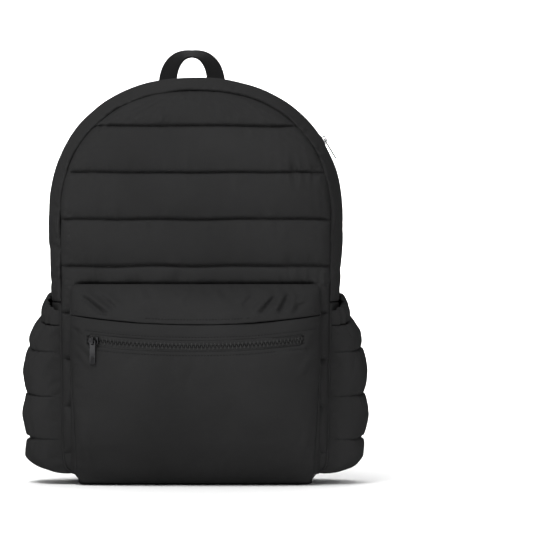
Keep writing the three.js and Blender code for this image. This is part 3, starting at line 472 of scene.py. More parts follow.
def hard_material(name, colour, rough, metallic, gloss=0.5):
    """Moulded plastic or plated metal with faint handling marks."""
    material, tree, shader = new_material(name)
    place = add_node(tree, "ShaderNodeTexCoord").outputs["Object"]
    marks = add_node(tree, "ShaderNodeTexNoise", Vector=place, Scale=320.0, Detail=4.0)
    shade = shade_between(tree, marks.outputs["Fac"], tinted(colour, 0.85), tinted(colour, 1.15))
    tree.links.new(shade, shader.inputs["Base Color"])
    wear = add_node(tree, "ShaderNodeMapRange", Value=marks.outputs["Fac"],
                    To_Min=rough * 0.8, To_Max=rough * 1.25)
    tree.links.new(wear.outputs["Result"], shader.inputs["Roughness"])
    bump = add_node(tree, "ShaderNodeBump", Strength=0.15, Distance=0.0001,
                    Height=marks.outputs["Fac"])
    tree.links.new(bump.outputs["Normal"], shader.inputs["Normal"])
    shader.inputs["Metallic"].default_value = metallic
    shader.inputs["Specular IOR Level"].default_value = gloss
    return material


def stage_material(name, colour):
    material, tree, shader = new_material(name)
    place = add_node(tree, "ShaderNodeTexCoord").outputs["Object"]
    mottle = add_node(tree, "ShaderNodeTexNoise", Vector=place, Scale=2.0, Detail=2.0)
    shade = shade_between(tree, mottle.outputs["Fac"], tinted(colour, 0.995), colour)
    tree.links.new(shade, shader.inputs["Base Color"])
    shader.inputs["Roughness"].default_value = 0.9
    return material


MATERIALS = {}
# The zip tape is the fabric's colour made lighter by this share: painted light that offsets the
# shade where the tape lies recessed beside the teeth
TAPE_PAINTED_LIGHT = 1.3


def materials(settings):
    """The bag's finishes, made once from the panel's colours."""
    if not MATERIALS:
        MATERIALS["nylon"] = nylon_material("soft_nylon", settings.fabric_colour)
        MATERIALS["webbing"] = webbing_material("ribbed_webbing", settings.webbing_colour)
        # The tape's lighter colour is painted light against the shade of its recess
        MATERIALS["tape"] = webbing_material("zip_tape", tinted(settings.fabric_colour, TAPE_PAINTED_LIGHT))
        MATERIALS["plastic"] = hard_material("buckle_plastic", settings.buckle_colour, 0.32, 0.0)
        MATERIALS["metal"] = hard_material("slider_plating", settings.slider_colour, 0.28, 1.0)
        MATERIALS["zip"] = hard_material("zip_teeth_enamel", settings.teeth_colour, 0.35, 0.0, 0.2)
        MATERIALS["thread"] = hard_material("sewing_thread", settings.thread_colour, 0.8, 0.0, 0.0)
    return MATERIALS


# The quilted front panel

QUILT_PITCH = 50.9
CROWN_POWER = 2.6
CROWN_EDGE = 1.9
LOW_POWER = 6
PUFF_SHARE = 0.8
PUCKER_REACH = 9.0
EDGE_PUCKER_REACH = 11.0
FRONT_COLUMNS = 84
NEAR_LINE = (0, 0.9, 1.9, 3.2, 5.0, 7.6)
CHANNEL_STEP = 4.3
HIDDEN_STEP = 6.5
HIDDEN_Z = 170.0
GROOVE_DEPTH = 4.0
GROOVE_WIDTH = 1.4
SEAM_SLIT = 7.0
SEAM_SLIT_REACH = 2.0
POCKET_SEAM_Z = 219.5
POCKET_SEAM_DIP = 7.0
SEAM_GATHER = 2.2
SEAM_GATHER_REACH = 7.0
LINE_PUCKER = 3.0
EDGE_PUCKER = 1.8
POCKET_SEAM_REACH = 1.8
FRONT_CAP_Z = FRONT_RING[1] - 4

# Folds drawn by seams: x and z of both ends, height and width
FRONT_FOLDS = (
    (-54, 428, -24, 422, 1.2, 2.6), (-40, 431, -14, 428, 0.9, 2.2), (8, 431, 26, 426, 1.1, 2.4),
    (-96, 398, -70, 392, 0.8, 3.0), (70, 402, 98, 392, 0.8, 3.0),
)


def front_form(x, z):
    """How far the front panel's sewn lines stand out from its seam plane, and how full it is."""
    share = outline_share(FRONT_RING, x, z)
    across = (1 - share ** CROWN_POWER) ** (1 / CROWN_EDGE)
    fall = np.clip(SPRING_Z - z, 0, None) / (SPRING_Z - FRONT_LOW[2])
    low = (1 - np.clip(fall, 0, 1) ** LOW_POWER) ** 0.5
    crown = FRONT_Y - FRONT_LOW[1] - QUILT_PUFF
    return crown * across * low, across * low


def channel_fill(z):
    """0 on a quilting line, 1 in the middle of a channel."""
    return np.abs(np.sin(math.pi * (z - SPRING_Z) / QUILT_PITCH))


def pocket_tuck(x, z):
    """How far the front pocket's top seam pulls the front panel in."""
    ends = np.clip((POCKET_HALF - 2 - np.abs(x)) / 10, 0, 1)
    off = np.abs(z - POCKET_SEAM_Z) / POCKET_SEAM_REACH
    return POCKET_SEAM_DIP * ends * (0.7 * np.exp(-off ** 2) + 0.3 * np.exp(-(off / 4) ** 2))


def front_relief(x, z, puff):
    """How far the filled panel stands out from its seam plane, with its channels and lines."""
    base, lift = front_form(x, z)
    full = np.minimum(lift * 3, 1)
    line = GROOVE_DEPTH * np.exp(-(distance_to_line(z) / GROOVE_WIDTH) ** 2)
    return base + (puff * channel_fill(z) ** 0.7 - line) * full - pocket_tuck(x, z)


def front_surface(x, z):
    """Depth of the filled front panel."""
    return FRONT_Y - front_relief(x, z, QUILT_PUFF)


def spaced_rows(knots, near, step):
    """Heights between knots, close together on both sides of every knot."""
    near = np.array(near)
    rows = []
    for low, high in zip(knots[:-1], knots[1:]):
        close = near[near < (high - low) * 0.4]
        count = max(int(round((high - low - 2 * close[-1]) / step)), 1)
        middle = np.linspace(low + close[-1], high - close[-1], count + 1)[1:-1]
        rows.extend([*(low + close), *middle, *(high - close[:0:-1])])
    return np.array([*rows, knots[-1]])


def quilt_rows(bottom, top):
    """Heights of the front panel's rows, and which of them are quilting lines."""
    first = math.ceil((bottom - SPRING_Z) / QUILT_PITCH)
    last = math.floor((top - SPRING_Z) / QUILT_PITCH)
    lines = SPRING_Z + QUILT_PITCH * np.arange(first, last + 1)
    hidden = spaced_rows([bottom, *lines[lines < HIDDEN_Z]], (0, 1.5), HIDDEN_STEP)
    knots = sorted([hidden[-1], *lines[lines > HIDDEN_Z], POCKET_SEAM_Z, top])
    shown = spaced_rows(knots, NEAR_LINE, CHANNEL_STEP)
    rows = np.array([*hidden[:-1], *shown])
    return rows, np.min(np.abs(rows[:, None] - lines), axis=1) < 0.01


def edge_spaced(count):
    """Shares from -1 to 1 that run closer together towards the sides."""
    ease = 0.42 * math.pi
    return np.sin(np.linspace(-1, 1, count) * ease) / math.sin(ease)


def line_puckers(x, z, seed):
    """Small gathers beside the quilting lines, where the thread draws the fabric in."""
    from_line = distance_to_line(z)
    near = np.exp(-from_line / PUCKER_REACH) * (1 - np.exp(-from_line / 1.6))
    gather = smooth_noise(np.stack([x, z * 0.12], axis=-1), 8, seed)
    patches = np.clip(smooth_noise(np.stack([x, z], axis=-1), 70, seed + 1) + 0.5, 0, 1.2)
    return near * gather * patches


def distance_to_line(z):
    return np.abs((z - SPRING_Z + QUILT_PITCH / 2) % QUILT_PITCH - QUILT_PITCH / 2)


def fold_relief(x, z, folds):
    """Height of soft folds over a panel: each is a ridge with a valley beside it."""
    relief = np.zeros(np.broadcast(x, z).shape)
    for x0, z0, x1, z1, height, width in folds:
        length = math.hypot(x1 - x0, z1 - z0)
        way_x, way_z = (x1 - x0) / length, (z1 - z0) / length
        along = ((x - x0) * way_x + (z - z0) * way_z) / length
        off = (z - z0) * way_x - (x - x0) * way_z
        fade = np.clip(np.minimum(along, 1 - along) * 3.5, 0, 1)
        fade = fade * fade * (3 - 2 * fade)
        valley = np.exp(-np.abs(off - 1.3 * width) / (0.5 * width))
        ridge = np.exp(-(off / width) ** 2) - 1.1 * valley
        relief += height * fade * ridge
    return relief


def quilting_stitches(name, cloth, lines, settings):
    """Thread along sewn lines, laid on a finished piece."""
    thread = stitch_rows(name, lines, cloth)
    return dress(thread, materials(settings)["thread"], "webbing")


class BACKPACK_OT_front_panel(bpy.types.Operator):
    """Adds the quilted front panel, filled between its sewn lines"""
    bl_idname = "backpack.front_panel"
    bl_label = "Front Panel"

    def execute(self, context):
        settings = context.scene.backpack
        rows, is_line = quilt_rows(FRONT_LOW[2], FRONT_CAP_Z)
        shares = edge_spaced(FRONT_COLUMNS + 1)
        x = shares[None, :] * half_of(FRONT_RING, rows)[:, None]
        z = np.repeat(rows[:, None], len(shares), axis=1)
        x = np.concatenate([x, x[-1:], x[-1:]])
        top = top_of(FRONT_RING, x[-1:])
        z = np.concatenate([z, (z[-1:] + top) / 2, top])
        lift = front_form(x, z)[1]
        out = front_relief(x, z, settings.puff_depth * PUFF_SHARE)
        half = half_of(FRONT_RING, np.minimum(z, FRONT_CAP_Z))
        inside = (1 - outline_share(FRONT_RING, x, z)) * half
        edge = np.exp(-inside / EDGE_PUCKER_REACH) * (1 - np.exp(-inside / 2.5))
        place = np.stack([x, z], axis=-1)
        gathers = (smooth_noise(place * [1, 0.2], 7, 23)
                   * np.exp(-np.abs(z - POCKET_SEAM_Z) / SEAM_GATHER_REACH))
        out = out + settings.pucker_depth * (LINE_PUCKER * line_puckers(x, z, 11)
                                             + EDGE_PUCKER * edge * smooth_noise(place, 9, 5)
                                             + SEAM_GATHER * gathers)
        out = out + fold_relief(x, z, FRONT_FOLDS) * np.minimum(lift * 3, 1)
        out = out - SEAM_SLIT * np.exp(-inside / SEAM_SLIT_REACH)
        wander = settings.line_wander * smooth_noise(place * [1, 0.3], 90, 3)
        wander *= (1 - channel_fill(z) ** 2) * np.minimum(lift * 2, 1)
        points = np.stack([x, FRONT_Y - out, z + wander], axis=-1)
        panel = grid_object("quilted_front", points, towards(0, -1, 0))
        pins = edge_pins(points)
        pins[distance_to_line(z) < NEAR_LINE[1] + 0.1] = 1
        pins[np.abs(z - POCKET_SEAM_Z) < 4] = 1
        fill_with_air(panel, pins.ravel(), settings.filling_pressure, 0.02, 6)
        finish_cloth(panel, 3)
        dress(panel, materials(settings)["nylon"], "nylon_fabric", "front_panel")
        lines = [points[i, 2:-2] for i in np.flatnonzero(is_line)]
        quilting_stitches("front_quilting_thread", panel, lines, settings)
        return {"FINISHED"}


# The gusset: bands on both sides of the main zip, and the lower side walls

SEAM_DIP = 2.5
SEAM_DIP_REACH = 1.6
SHOULDER = 6.0
SHOULDER_REACH = 8.0
ZIP_DIP = 1.6
WELT_WIDTH = 6.3
WELT_GROOVE = 0.9
FINE_STEPS = (0, 1, 2.2, 3.6, 5.2, 6.3, 7.4, 9.0, 11.5, 15)
BAND_PUCKER_REACH = 14.0


def seam_spaced(start, end, step=5.5):
    """Depths from one seam to another, closer together beside both."""
    fine = np.array(FINE_STEPS)
    span = end - start
    count = max(int(round((span - 2 * fine[-1]) / step)), 1)
    middle = np.linspace(fine[-1], span - fine[-1], count + 1)[1:-1]
    return start + np.concatenate([fine, middle, (span - fine)[::-1]])


def arc_length(points):
    """Distance along the rows of a grid, down its middle column, as a column."""
    return run_along(points[:, points.shape[1] // 2])[:, None]


def band_points(depths, start_rise, zip_at_end, pucker, seed):
    """A band's grid: its edges dip into their seams, and a welt lies beside the zip."""
    rise, side = stations(start_rise, 30, 92)
    from_start, from_end = depths - depths[0], depths[-1] - depths
    from_zip, from_seam = (from_end, from_start) if zip_at_end else (from_start, from_end)
    dip = (SEAM_DIP * np.exp(-from_seam / SEAM_DIP_REACH)
           + ZIP_DIP * np.exp(-from_zip / SEAM_DIP_REACH))
    dip = dip + WELT_GROOVE * np.exp(-((from_zip - WELT_WIDTH) / 1.1) ** 2)
    bare = on_body(rise[:, None], side[:, None], depths[None, :], 0)
    run = arc_length(bare)
    place = np.stack(np.broadcast_arrays(run, depths[None, :] * 0.25), axis=-1)
    gather = smooth_noise(place, 12, seed)
    patches = np.clip(smooth_noise(place, 90, seed + 1) + 0.45, 0, 1.3)
    near = np.exp(-from_seam / BAND_PUCKER_REACH) * (1 - np.exp(-from_seam / 2.5))
    inset = dip[None, :] - pucker * 1.3 * near[None, :] * gather * patches
    inset = inset + 0.5 * smooth_noise(place * [1, 3], 60, seed + 2)
    points = on_body(rise[:, None], side[:, None], depths[None, :], inset)
    if zip_at_end:
        roll = (1 - np.exp(-from_seam / 1.2)) * np.exp(-(from_seam / SHOULDER_REACH) ** 2)
        points[..., 1] -= roll * (SHOULDER + 2.2 * pucker * gather * patches)
    return points


def outward_from_middle(centres):
    """From the bag's middle, across and up."""
    return (centres - [0, 0, 200]) * [1, 0, 1]


def edge_pins(points):
    pins = np.zeros(points.shape[:2])
    pins[:, [0, -1]] = 1
    pins[[0, -1], :] = 1
    return pins


class BACKPACK_OT_gusset(bpy.types.Operator):
    """Adds the gusset bands and the lower side walls"""
    bl_idname = "backpack.gusset"
    bl_label = "Gusset"

    def execute(self, context):
        settings = context.scene.backpack
        nylon = materials(settings)["nylon"]
        bands = (("gusset_front", BAND_LOW[1], BAND_HIGH[1], "zip_band_front", True, 21),
                 ("gusset_rear", REAR_LOW[1], REAR_HIGH[1], "zip_band_rear", False, 31))
        for name, start, end, node, zip_at_end, seed in bands:
            depths = seam_spaced(start, end)
            points = band_points(depths, rise_of(BAND_END_Z), zip_at_end,
                                 settings.pucker_depth, seed)
            band = grid_object(name, points, outward_from_middle)
            pins = edge_pins(points)
            from_zip = depths[-1] - depths if zip_at_end else depths - depths[0]
            pins[:, from_zip < WELT_WIDTH + 1.5] = 1
            fill_with_air(band, pins.ravel(), 1.5, 0.012, 3)
            finish_cloth(band, 3)
            dress(band, nylon, "nylon_fabric", node)
            groove = int(np.argmin(np.abs(from_zip - WELT_WIDTH)))
            quilting_stitches(f"{name}_thread", band, [points[4:-4, groove]], settings)
        for name, side in (("left", -1), ("right", 1)):
            low, high = node_box(f"side_wall_{name}")
            rise = np.linspace(rise_of(BASE_HEIGHT + SEAM_GAP), rise_of(high[2]), 44)
            points = on_body(rise[:, None], side, seam_spaced(low[1], high[1])[None, :],
                             0.4 * np.sin(rise * 9)[:, None])
            wall = grid_object(f"lower_side_{name}", points, outward_from_middle)
            finish_cloth(wall, 2.6)
            dress(wall, nylon, "nylon_fabric", f"side_wall_{name}")
        return {"FINISHED"}


# The padded back and the boxed base

BACK_CORNER_R = 60.0
BACK_BOTTOM_Z = 45.0
BACK_INNER_Y = BACK_Y + SEAM_GAP
BACK_EDGE = 3.7
BACK_CROWN = 8.0
BACK_PLANE_Y = BACK_INNER_Y + BACK_CROWN
BACK_CAP_Z = BACK_RING[1] - 4
RISER_TOP_Z = 84.0
BASE_CORNER_R = 9

# The base's loops, from its middle out and up: inset and height
BASE_STEPS = ((70, 0.0), (40, 0.0), (12, 0.0), (5, 0.1), (2.2, 0.7), (0.7, 2.0), (0, 4.2), (0, 7.0),
              (0.5, 9.2))


def back_half(z):
    fall = np.clip(BACK_BOTTOM_Z + BACK_CORNER_R - z, 0, BACK_CORNER_R)
    rounded = BACK_RING[0] + 2 - BACK_CORNER_R + np.sqrt(BACK_CORNER_R ** 2 - fall ** 2)
    return np.minimum(rounded, half_of(BACK_RING, z))


def back_surface(x, z):
    share = outline_share(BACK_RING, x, z)
    low = np.clip((z - BACK_BOTTOM_Z) / BACK_CORNER_R, 0, 1)
    swell = (1 - share ** 4) ** 0.5 * np.sin(low * math.pi / 2) ** 0.5
    return BACK_INNER_Y + BACK_EDGE + (BACK_CROWN - BACK_EDGE) * swell


class BACKPACK_OT_back_panel(bpy.types.Operator):
    """Adds the smooth padded back with its bound edge"""
    bl_idname = "backpack.back_panel"
    bl_label = "Back Panel"

    def execute(self, context):
        settings = context.scene.backpack
        share = np.linspace(0, 1, 84)
        ease = share + 0.35 * share * (share - 1) * (1 - share)
        rows = BACK_BOTTOM_Z + (BACK_CAP_Z - BACK_BOTTOM_Z) * ease
        shares = edge_spaced(57)
        x = shares[None, :] * back_half(rows)[:, None]
        z = np.repeat(rows[:, None], len(shares), axis=1)
        x = np.concatenate([x, x[-1:], x[-1:]])
        top = top_of(BACK_RING, x[-1:])
        z = np.concatenate([z, (z[-1:] + top) / 2, top])
        out = back_surface(x, z) - 0.8 + 0.5 * smooth_noise(np.stack([x, z], axis=-1), 80, 41)
        points = np.stack([x, out, z], axis=-1)
        back = grid_object("padded_back", points, towards(0, 1, 0))
        fill_with_air(back, edge_pins(points).ravel(), 1.0, 0.006, 2.5)
        finish_cloth(back, 3)
        dress(back, materials(settings)["nylon"], "nylon_fabric", "back_panel")
        self.add_binding(settings)
        return {"FINISHED"}

    def add_binding(self, settings):
        """Narrow binding over the seam between the gusset and the back."""
        rise, side = stations(rise_of(BACK_BOTTOM_Z + BACK_CORNER_R), 40, 90)
        seam = on_body(rise, side, BACK_Y, -0.2)
        angle = np.linspace(0, math.pi / 2, 24)[1:]
        corner_x = BACK_RING[0] + 2 - BACK_CORNER_R
        corner_z = BACK_BOTTOM_Z + BACK_CORNER_R
        low = np.stack([corner_x + BACK_CORNER_R * np.cos(angle), np.full(len(angle), BACK_Y + 2.5),
                        corner_z - BACK_CORNER_R * np.sin(angle)], axis=-1)
        left = low * [-1, 1, 1]
        loop = np.concatenate([left, seam[::-1], low])
        binding = tube("back_binding", loop, 1.5, closed=True)
        dress(binding, materials(settings)["webbing"], "webbing")


class BACKPACK_OT_boxed_base(bpy.types.Operator):
    """Adds the boxed base and the strip that rises behind the back's lower corners"""
    bl_idname = "backpack.boxed_base"
    bl_label = "Boxed Base"

    def execute(self, context):
        settings = context.scene.backpack
        nylon = materials(settings)["nylon"]
        loops = []
        for inset, z in BASE_STEPS:
            loop = rounded_rectangle(BASE_HALF - inset, BASE_HALF_DEPTH - inset,
                                     max(BASE_CORNER_R - inset, 2), 120)
            height = z + 0.25 * smooth_noise(loop, 22, 51) * min(z, 1)
            loops.append(np.column_stack([loop, np.broadcast_to(height, len(loop))]))
        points = np.array(loops)
        count = points.shape[1]
        verts = np.concatenate([points.reshape(-1, 3), [[0, 0, 0]]])
        faces = grid_faces(*points.shape[:2], closed=True)
        faces += [(len(verts) - 1, (j + 1) % count, j) for j in range(count)]
        base = mesh_object("boxed_base", verts, faces)
        face_outward(base, lambda c: c * [1, 1, 0] + [0, 0, -60])
        finish_cloth(base, 2.6)
        dress(base, nylon, "nylon_fabric", "base_panel")

        angle = np.linspace(0.36, math.pi / 2, 18)
        clear = BACK_CORNER_R + SEAM_GAP
        corner_x = BACK_RING[0] + 2 - BACK_CORNER_R
        inner = np.stack([corner_x + clear * np.cos(angle),
                          BACK_BOTTOM_Z + BACK_CORNER_R - clear * np.sin(angle)], axis=-1)
        drop = np.linspace(0, 1, 9)
        side_z = RISER_TOP_Z * (1 - drop)
        side_x = half_of(BACK_RING, np.maximum(side_z, BASE_HEIGHT)) - 0.2
        side = np.stack([side_x, side_z], axis=-1)
        under = np.stack([np.linspace(BASE_HALF, corner_x, 10)[1:], np.zeros(9)], axis=-1)
        outer = np.concatenate([side, under])
        across = np.linspace(-1, 1, 22)[1:-1, None]
        inner_low = np.column_stack([across * inner[-1, 0], across * 0 + inner[-1, 1]])
        outer_low = np.column_stack([across * outer[-1, 0], across * 0])
        inner = np.concatenate([inner * [-1, 1], inner_low, inner[::-1]])
        outer = np.concatenate([outer * [-1, 1], outer_low, outer[::-1]])
        reach = np.linspace(0, 1, 12)[None, :, None]
        flat = inner[:, None, :] * (1 - reach) + outer[:, None, :] * reach
        dome = 1.2 * np.sin(math.pi * reach[..., 0]) ** 0.5
        depth = BACK_INNER_Y + BACK_EDGE - 0.8 + dome + 0.4 * smooth_noise(flat, 40, 53)
        points = np.stack([flat[..., 0], depth, flat[..., 1]], axis=-1)
        riser = grid_object("base_riser", points, towards(0, 1, 0))
        finish_cloth(riser, 3)
        dress(riser, nylon, "nylon_fabric")
        return {"FINISHED"}


# The front pocket

POCKET_HALF = 136.0
POCKET_BOTTOM_Z = 12.0
POCKET_TOP_Z = 220.0
POCKET_CORNER_R = 8.0
POCKET_SEAM_Y = -101.0
POCKET_DEPTH = 55.0
YOKE_Z = 176.0
YOKE_SAG = 10.0
POCKET_ZIP_Z = 152.6
POCKET_ZIP_SAG = 7.0
POCKET_ZIP_HALF = 116.0
POCKET_SLOT = 10.5
WELT_REACH = 4.6
BOTTOM_SAG = 9.5
BOTTOM_SAG_REACH = 34.0
BOTTOM_TAPER = 0.055
BOTTOM_TAPER_REACH = 150.0
POCKET_RISE = (0, 0.03, 0.09, 0.19, 0.31, 0.45, 0.6, 0.72, 0.81, 0.89, 0.95, 1)
POCKET_OUT = (0, 0.1, 0.3, 0.56, 0.8, 0.94, 1, 0.96, 0.86, 0.68, 0.46, 0.22)
EDGE_RISE = (0, 0.06, 0.16, 0.85, 1)
EDGE_OUT = (0.45, 0.75, 1, 1, 0.72)
YOKE_PUFF = 3.0
FOLD_HEIGHT = 2.2
YOKE_PUCKER = 1.3
BELOW_TOP = 0.01
ON_PANEL = 1.2

# Folds over the yoke and below the zip's ends: x and z of both ends, height and width
YOKE_FOLDS = (
    (-90, 188, -124, 214, 3.2, 4.0), (-80, 194, -106, 215, 1.6, 3.6), (86, 213, 62, 188, 2.6, 4.2),
    (98, 214, 84, 188, 3.2, 4.0), (109, 212, 102, 186, 2.0, 3.4), (120, 206, 104, 194, 1.4, 3.0),
    (60, 214, 44, 196, 1.4, 5.0), (-8, 215, -18, 198, 0.9, 5.0), (-60, 215, -52, 198, 1.0, 5.0),
    (20, 215, 28, 200, 0.8, 5.0),
)
PANEL_FOLDS = (
    (-112, 158, -132, 178, 1.6, 2.8), (-108, 138, -134, 168, 1.8, 3.4),
    (-112, 126, -130, 152, 1.2, 3.4), (131, 172, 116, 146, 1.4, 3.2),
    (132, 150, 112, 118, 1.2, 4.0), (-128, 60, -118, 20, 0.9, 4.0),
    (128, 70, 119, 22, 1.2, 4.0),
)


def pocket_rise(z):
    return (z - POCKET_BOTTOM_Z) / (POCKET_TOP_Z - POCKET_BOTTOM_Z)


def pocket_edge(z):
    """Depth of the pocket's outer seam."""
    return FRONT_Y + (POCKET_SEAM_Y - FRONT_Y) * np.interp(pocket_rise(z), EDGE_RISE, EDGE_OUT)


def pocket_half(z):
    fall = POCKET_CORNER_R - np.minimum(z - POCKET_BOTTOM_Z, POCKET_TOP_Z - z)
    fall = np.clip(fall, 0, POCKET_CORNER_R)
    return POCKET_HALF - POCKET_CORNER_R + np.sqrt(POCKET_CORNER_R ** 2 - fall ** 2)


def pocket_surface(x, z):
    share = np.clip(np.abs(x) / pocket_half(z), 0, 1)
    out = curve_at(POCKET_RISE, POCKET_OUT, pocket_rise(z))
    return pocket_edge(z) - POCKET_DEPTH * out * (1 - share ** 4) ** 0.5


def bottom_sag(z):
    """How far the pocket's lower edge hangs over the base."""
    return BOTTOM_SAG * np.clip(1 - (z - POCKET_BOTTOM_Z) / BOTTOM_SAG_REACH, 0, 1) ** 2


def bottom_taper(z):
    """The pocket's width as a share of its full width. It draws in towards its lower edge."""
    return 1 - BOTTOM_TAPER * np.clip(1 - (z - POCKET_BOTTOM_Z) / BOTTOM_TAPER_REACH, 0, 1) ** 1.5


def yoke_line(x):
    return YOKE_Z + YOKE_SAG * (x / POCKET_HALF) ** 2


def zip_line(x):
    return POCKET_ZIP_Z + POCKET_ZIP_SAG * (x / POCKET_ZIP_HALF) ** 2


def pocket_shares():
    """Columns across the pocket, with one on each end of its zip."""
    end = POCKET_ZIP_HALF / POCKET_HALF
    inside = np.linspace(-end, end, 75)
    beside = 1 - (1 - end) * np.array([0, 0.05, 0.14, 0.27, 0.43, 0.6, 0.8])
    return np.concatenate([-beside, inside, beside[::-1]])


class BACKPACK_OT_front_pocket(bpy.types.Operator):
    """Adds the front pocket: its panel with the zip's slot, its padded yoke and its side strip"""
    bl_idname = "backpack.front_pocket"
    bl_label = "Front Pocket"

    def execute(self, context):
        settings = context.scene.backpack
        self.add_panel(settings)
        self.add_yoke(settings)
        self.add_strip(settings)
        return {"FINISHED"}

    def add_panel(self, settings):
        nylon = materials(settings)["nylon"]
        shares = pocket_shares()
        guide = POCKET_HALF * shares
        slot = POCKET_SLOT / 2
        low, high = zip_line(guide) - slot, zip_line(guide) + slot
        ease = np.linspace(0, 1, 46)
        ease = ease - 0.1 * np.sin(2 * math.pi * ease) / 2
        below = POCKET_BOTTOM_Z + (low - POCKET_BOTTOM_Z) * ease[:, None]
        top = yoke_line(guide) - SEAM_GAP / 2
        above = high + (top - high) * np.linspace(0, 1, 11)[:, None]
        z = np.concatenate([below, above])
        x = shares[None, :] * pocket_half(z)
        lip = np.minimum(np.abs(z - low), np.abs(z - high))
        beyond = np.clip((np.abs(x) - POCKET_ZIP_HALF) / 6, 0, 1)
        dip = 1.3 * np.exp(-lip / 1.8) * (1 - beyond)
        dip = dip + 0.9 * np.exp(-((z - low + WELT_REACH) / 1.2) ** 2) * (1 - beyond)
        dip = dip + 0.9 * np.exp(-((z - high - WELT_REACH) / 1.2) ** 2)
        dip = dip + 0.5 * np.exp(-(top - z) / 2.2)
        inside = pocket_half(z) - np.abs(x)
        place = np.stack([x, z], axis=-1)
        edge = np.exp(-inside / 9) * (1 - np.exp(-inside / 2))
        relief = 1.6 * smooth_noise(place, 95, 61) * np.clip(inside / 30, 0, 1)
        relief = relief + settings.pucker_depth * edge * smooth_noise(place * [0.3, 1], 12, 62)
        relief = relief + FOLD_HEIGHT * fold_relief(x, z, PANEL_FOLDS)
        y = pocket_surface(x, z) + dip - relief * np.clip((z - POCKET_BOTTOM_Z) / 6, 0, 1)
        points = np.stack([x * bottom_taper(z), y, z - bottom_sag(z)], axis=-1)
        inside_slot = np.flatnonzero(np.abs(guide) < POCKET_ZIP_HALF - 0.5)
        seam_row = len(below) - 1
        skip = {(seam_row, int(j)) for j in range(inside_slot[0] - 1, inside_slot[-1] + 1)}
        panel = grid_object("pocket_front", points, towards(0, -1, 0), skip=skip)
        pins = edge_pins(points)
        pins[seam_row - 2:] = 1
        fill_with_air(panel, pins.ravel(), 1.2, 0.004, 4)
        finish_cloth(panel, 2.4)
        dress(panel, nylon, "nylon_fabric", "front_pocket_panel")

        reach = np.linspace(-POCKET_ZIP_HALF - 4, POCKET_ZIP_HALF + 4, 90)
        wide = np.linspace(-POCKET_HALF + 5, POCKET_HALF - 5, 110)
        lines = [self.lay(reach, zip_line(reach) - slot - WELT_REACH),
                 self.lay(wide, zip_line(wide) + slot + WELT_REACH)]
        tacks = []
        for end in (-POCKET_ZIP_HALF, POCKET_ZIP_HALF):
            for step in np.linspace(-1.2, 1.2, 4):
                bar = np.linspace(-5.5, 5.5, 8)
                at = np.full(len(bar), end + step)
                tacks.append(self.lay(at, zip_line(at) + bar))
        quilting_stitches("pocket_zip_thread", panel, lines + tacks, settings)

    @staticmethod
    def lay(x, z):
        return np.stack([x, pocket_surface(x, z), z], axis=-1)

    def add_yoke(self, settings):
        shares = pocket_shares()
        guide = POCKET_HALF * shares
        ease = np.linspace(0, 1, 26)
        bottom = yoke_line(guide) + SEAM_GAP / 2
        z = bottom + (POCKET_TOP_Z - bottom) * ease[:, None]
        below_top = np.minimum(z, POCKET_TOP_Z - BELOW_TOP)
        x = shares[None, :] * pocket_half(below_top)
        inside = pocket_half(below_top) - np.abs(x)
        place = np.stack([x, z], axis=-1)
        puff = YOKE_PUFF * np.sin(math.pi * np.clip(ease[:, None] * 0.96 + 0.02, 0, 1)) ** 0.6
        near_top = np.exp(-(POCKET_TOP_Z - z) / 9) * (1 - np.exp(-(POCKET_TOP_Z - z) / 2))
        relief = puff + FOLD_HEIGHT * fold_relief(x, z, YOKE_FOLDS)
        gathers = smooth_noise(place * [1, 0.3], 14, 66)
        relief = relief + settings.pucker_depth * near_top * gathers * YOKE_PUCKER
        relief = relief - 0.5 * np.exp(-(z - bottom) / 2.2)
        y = pocket_surface(x, below_top) - relief * np.clip(inside / 8, 0, 1)
        rest = front_surface(x, z) - ON_PANEL
        y = np.minimum(y, rest)
        points = np.stack([x, y, z], axis=-1)
        yoke = grid_object("pocket_yoke", points, towards(0, -1, 0))
        fill_with_air(yoke, edge_pins(points).ravel(), 1.2, 0.003, 3)
        finish_cloth(yoke, 2.4)
        dress(yoke, materials(settings)["nylon"], "nylon_fabric", "front_pocket_yoke")
        wide = np.linspace(-POCKET_HALF + 5, POCKET_HALF - 5, 110)
        line = self.lay(wide, yoke_line(wide) + 5)
        quilting_stitches("pocket_yoke_thread", yoke, [line], settings)

    def add_strip(self, settings):
        up = POCKET_BOTTOM_Z + POCKET_CORNER_R
        side_z = np.concatenate([np.linspace(212, up, 60),
                                 up - POCKET_CORNER_R * np.sin(np.linspace(0, math.pi / 2, 8)[1:])])
        side_x = pocket_half(side_z)
        bottom = np.linspace(1, -1, 60)[1:-1] * side_x[-1]
        x = np.concatenate([side_x, bottom, -side_x[::-1]])
        z = np.concatenate([side_z, np.full(len(bottom), POCKET_BOTTOM_Z), side_z[::-1]])
        share = np.linspace(0, 1, 8)[None, :]
        start = pocket_edge(z)[:, None] + 0.6
        end = front_surface(x, z)[:, None] + 2.0
        y = start + (np.maximum(end, start + 2) - start) * share
        bulge = 0.9 * np.sin(math.pi * share) ** 0.5
        way_x = np.where(z > up, np.sign(x), x / POCKET_HALF * 0.2)[:, None]
        way_z = np.where(z > up, 0, -1)[:, None]
        drop = bottom_sag(z)[:, None] * (1 - share)
        taper = 1 - (1 - bottom_taper(z)[:, None]) * (1 - share)
        out_x = x[:, None] * taper + bulge * way_x
        out_z = z[:, None] - drop + bulge * way_z * 0.4
        points = np.stack([out_x, y, out_z], axis=-1)
        strip = grid_object("pocket_side_strip", points, lambda c: (c - [0, 0, 110]) * [1, 0, 1])
        finish_cloth(strip, 2)
        dress(strip, materials(settings)["nylon"], "nylon_fabric", "front_pocket_gusset")


# The side pockets and their gathered casings

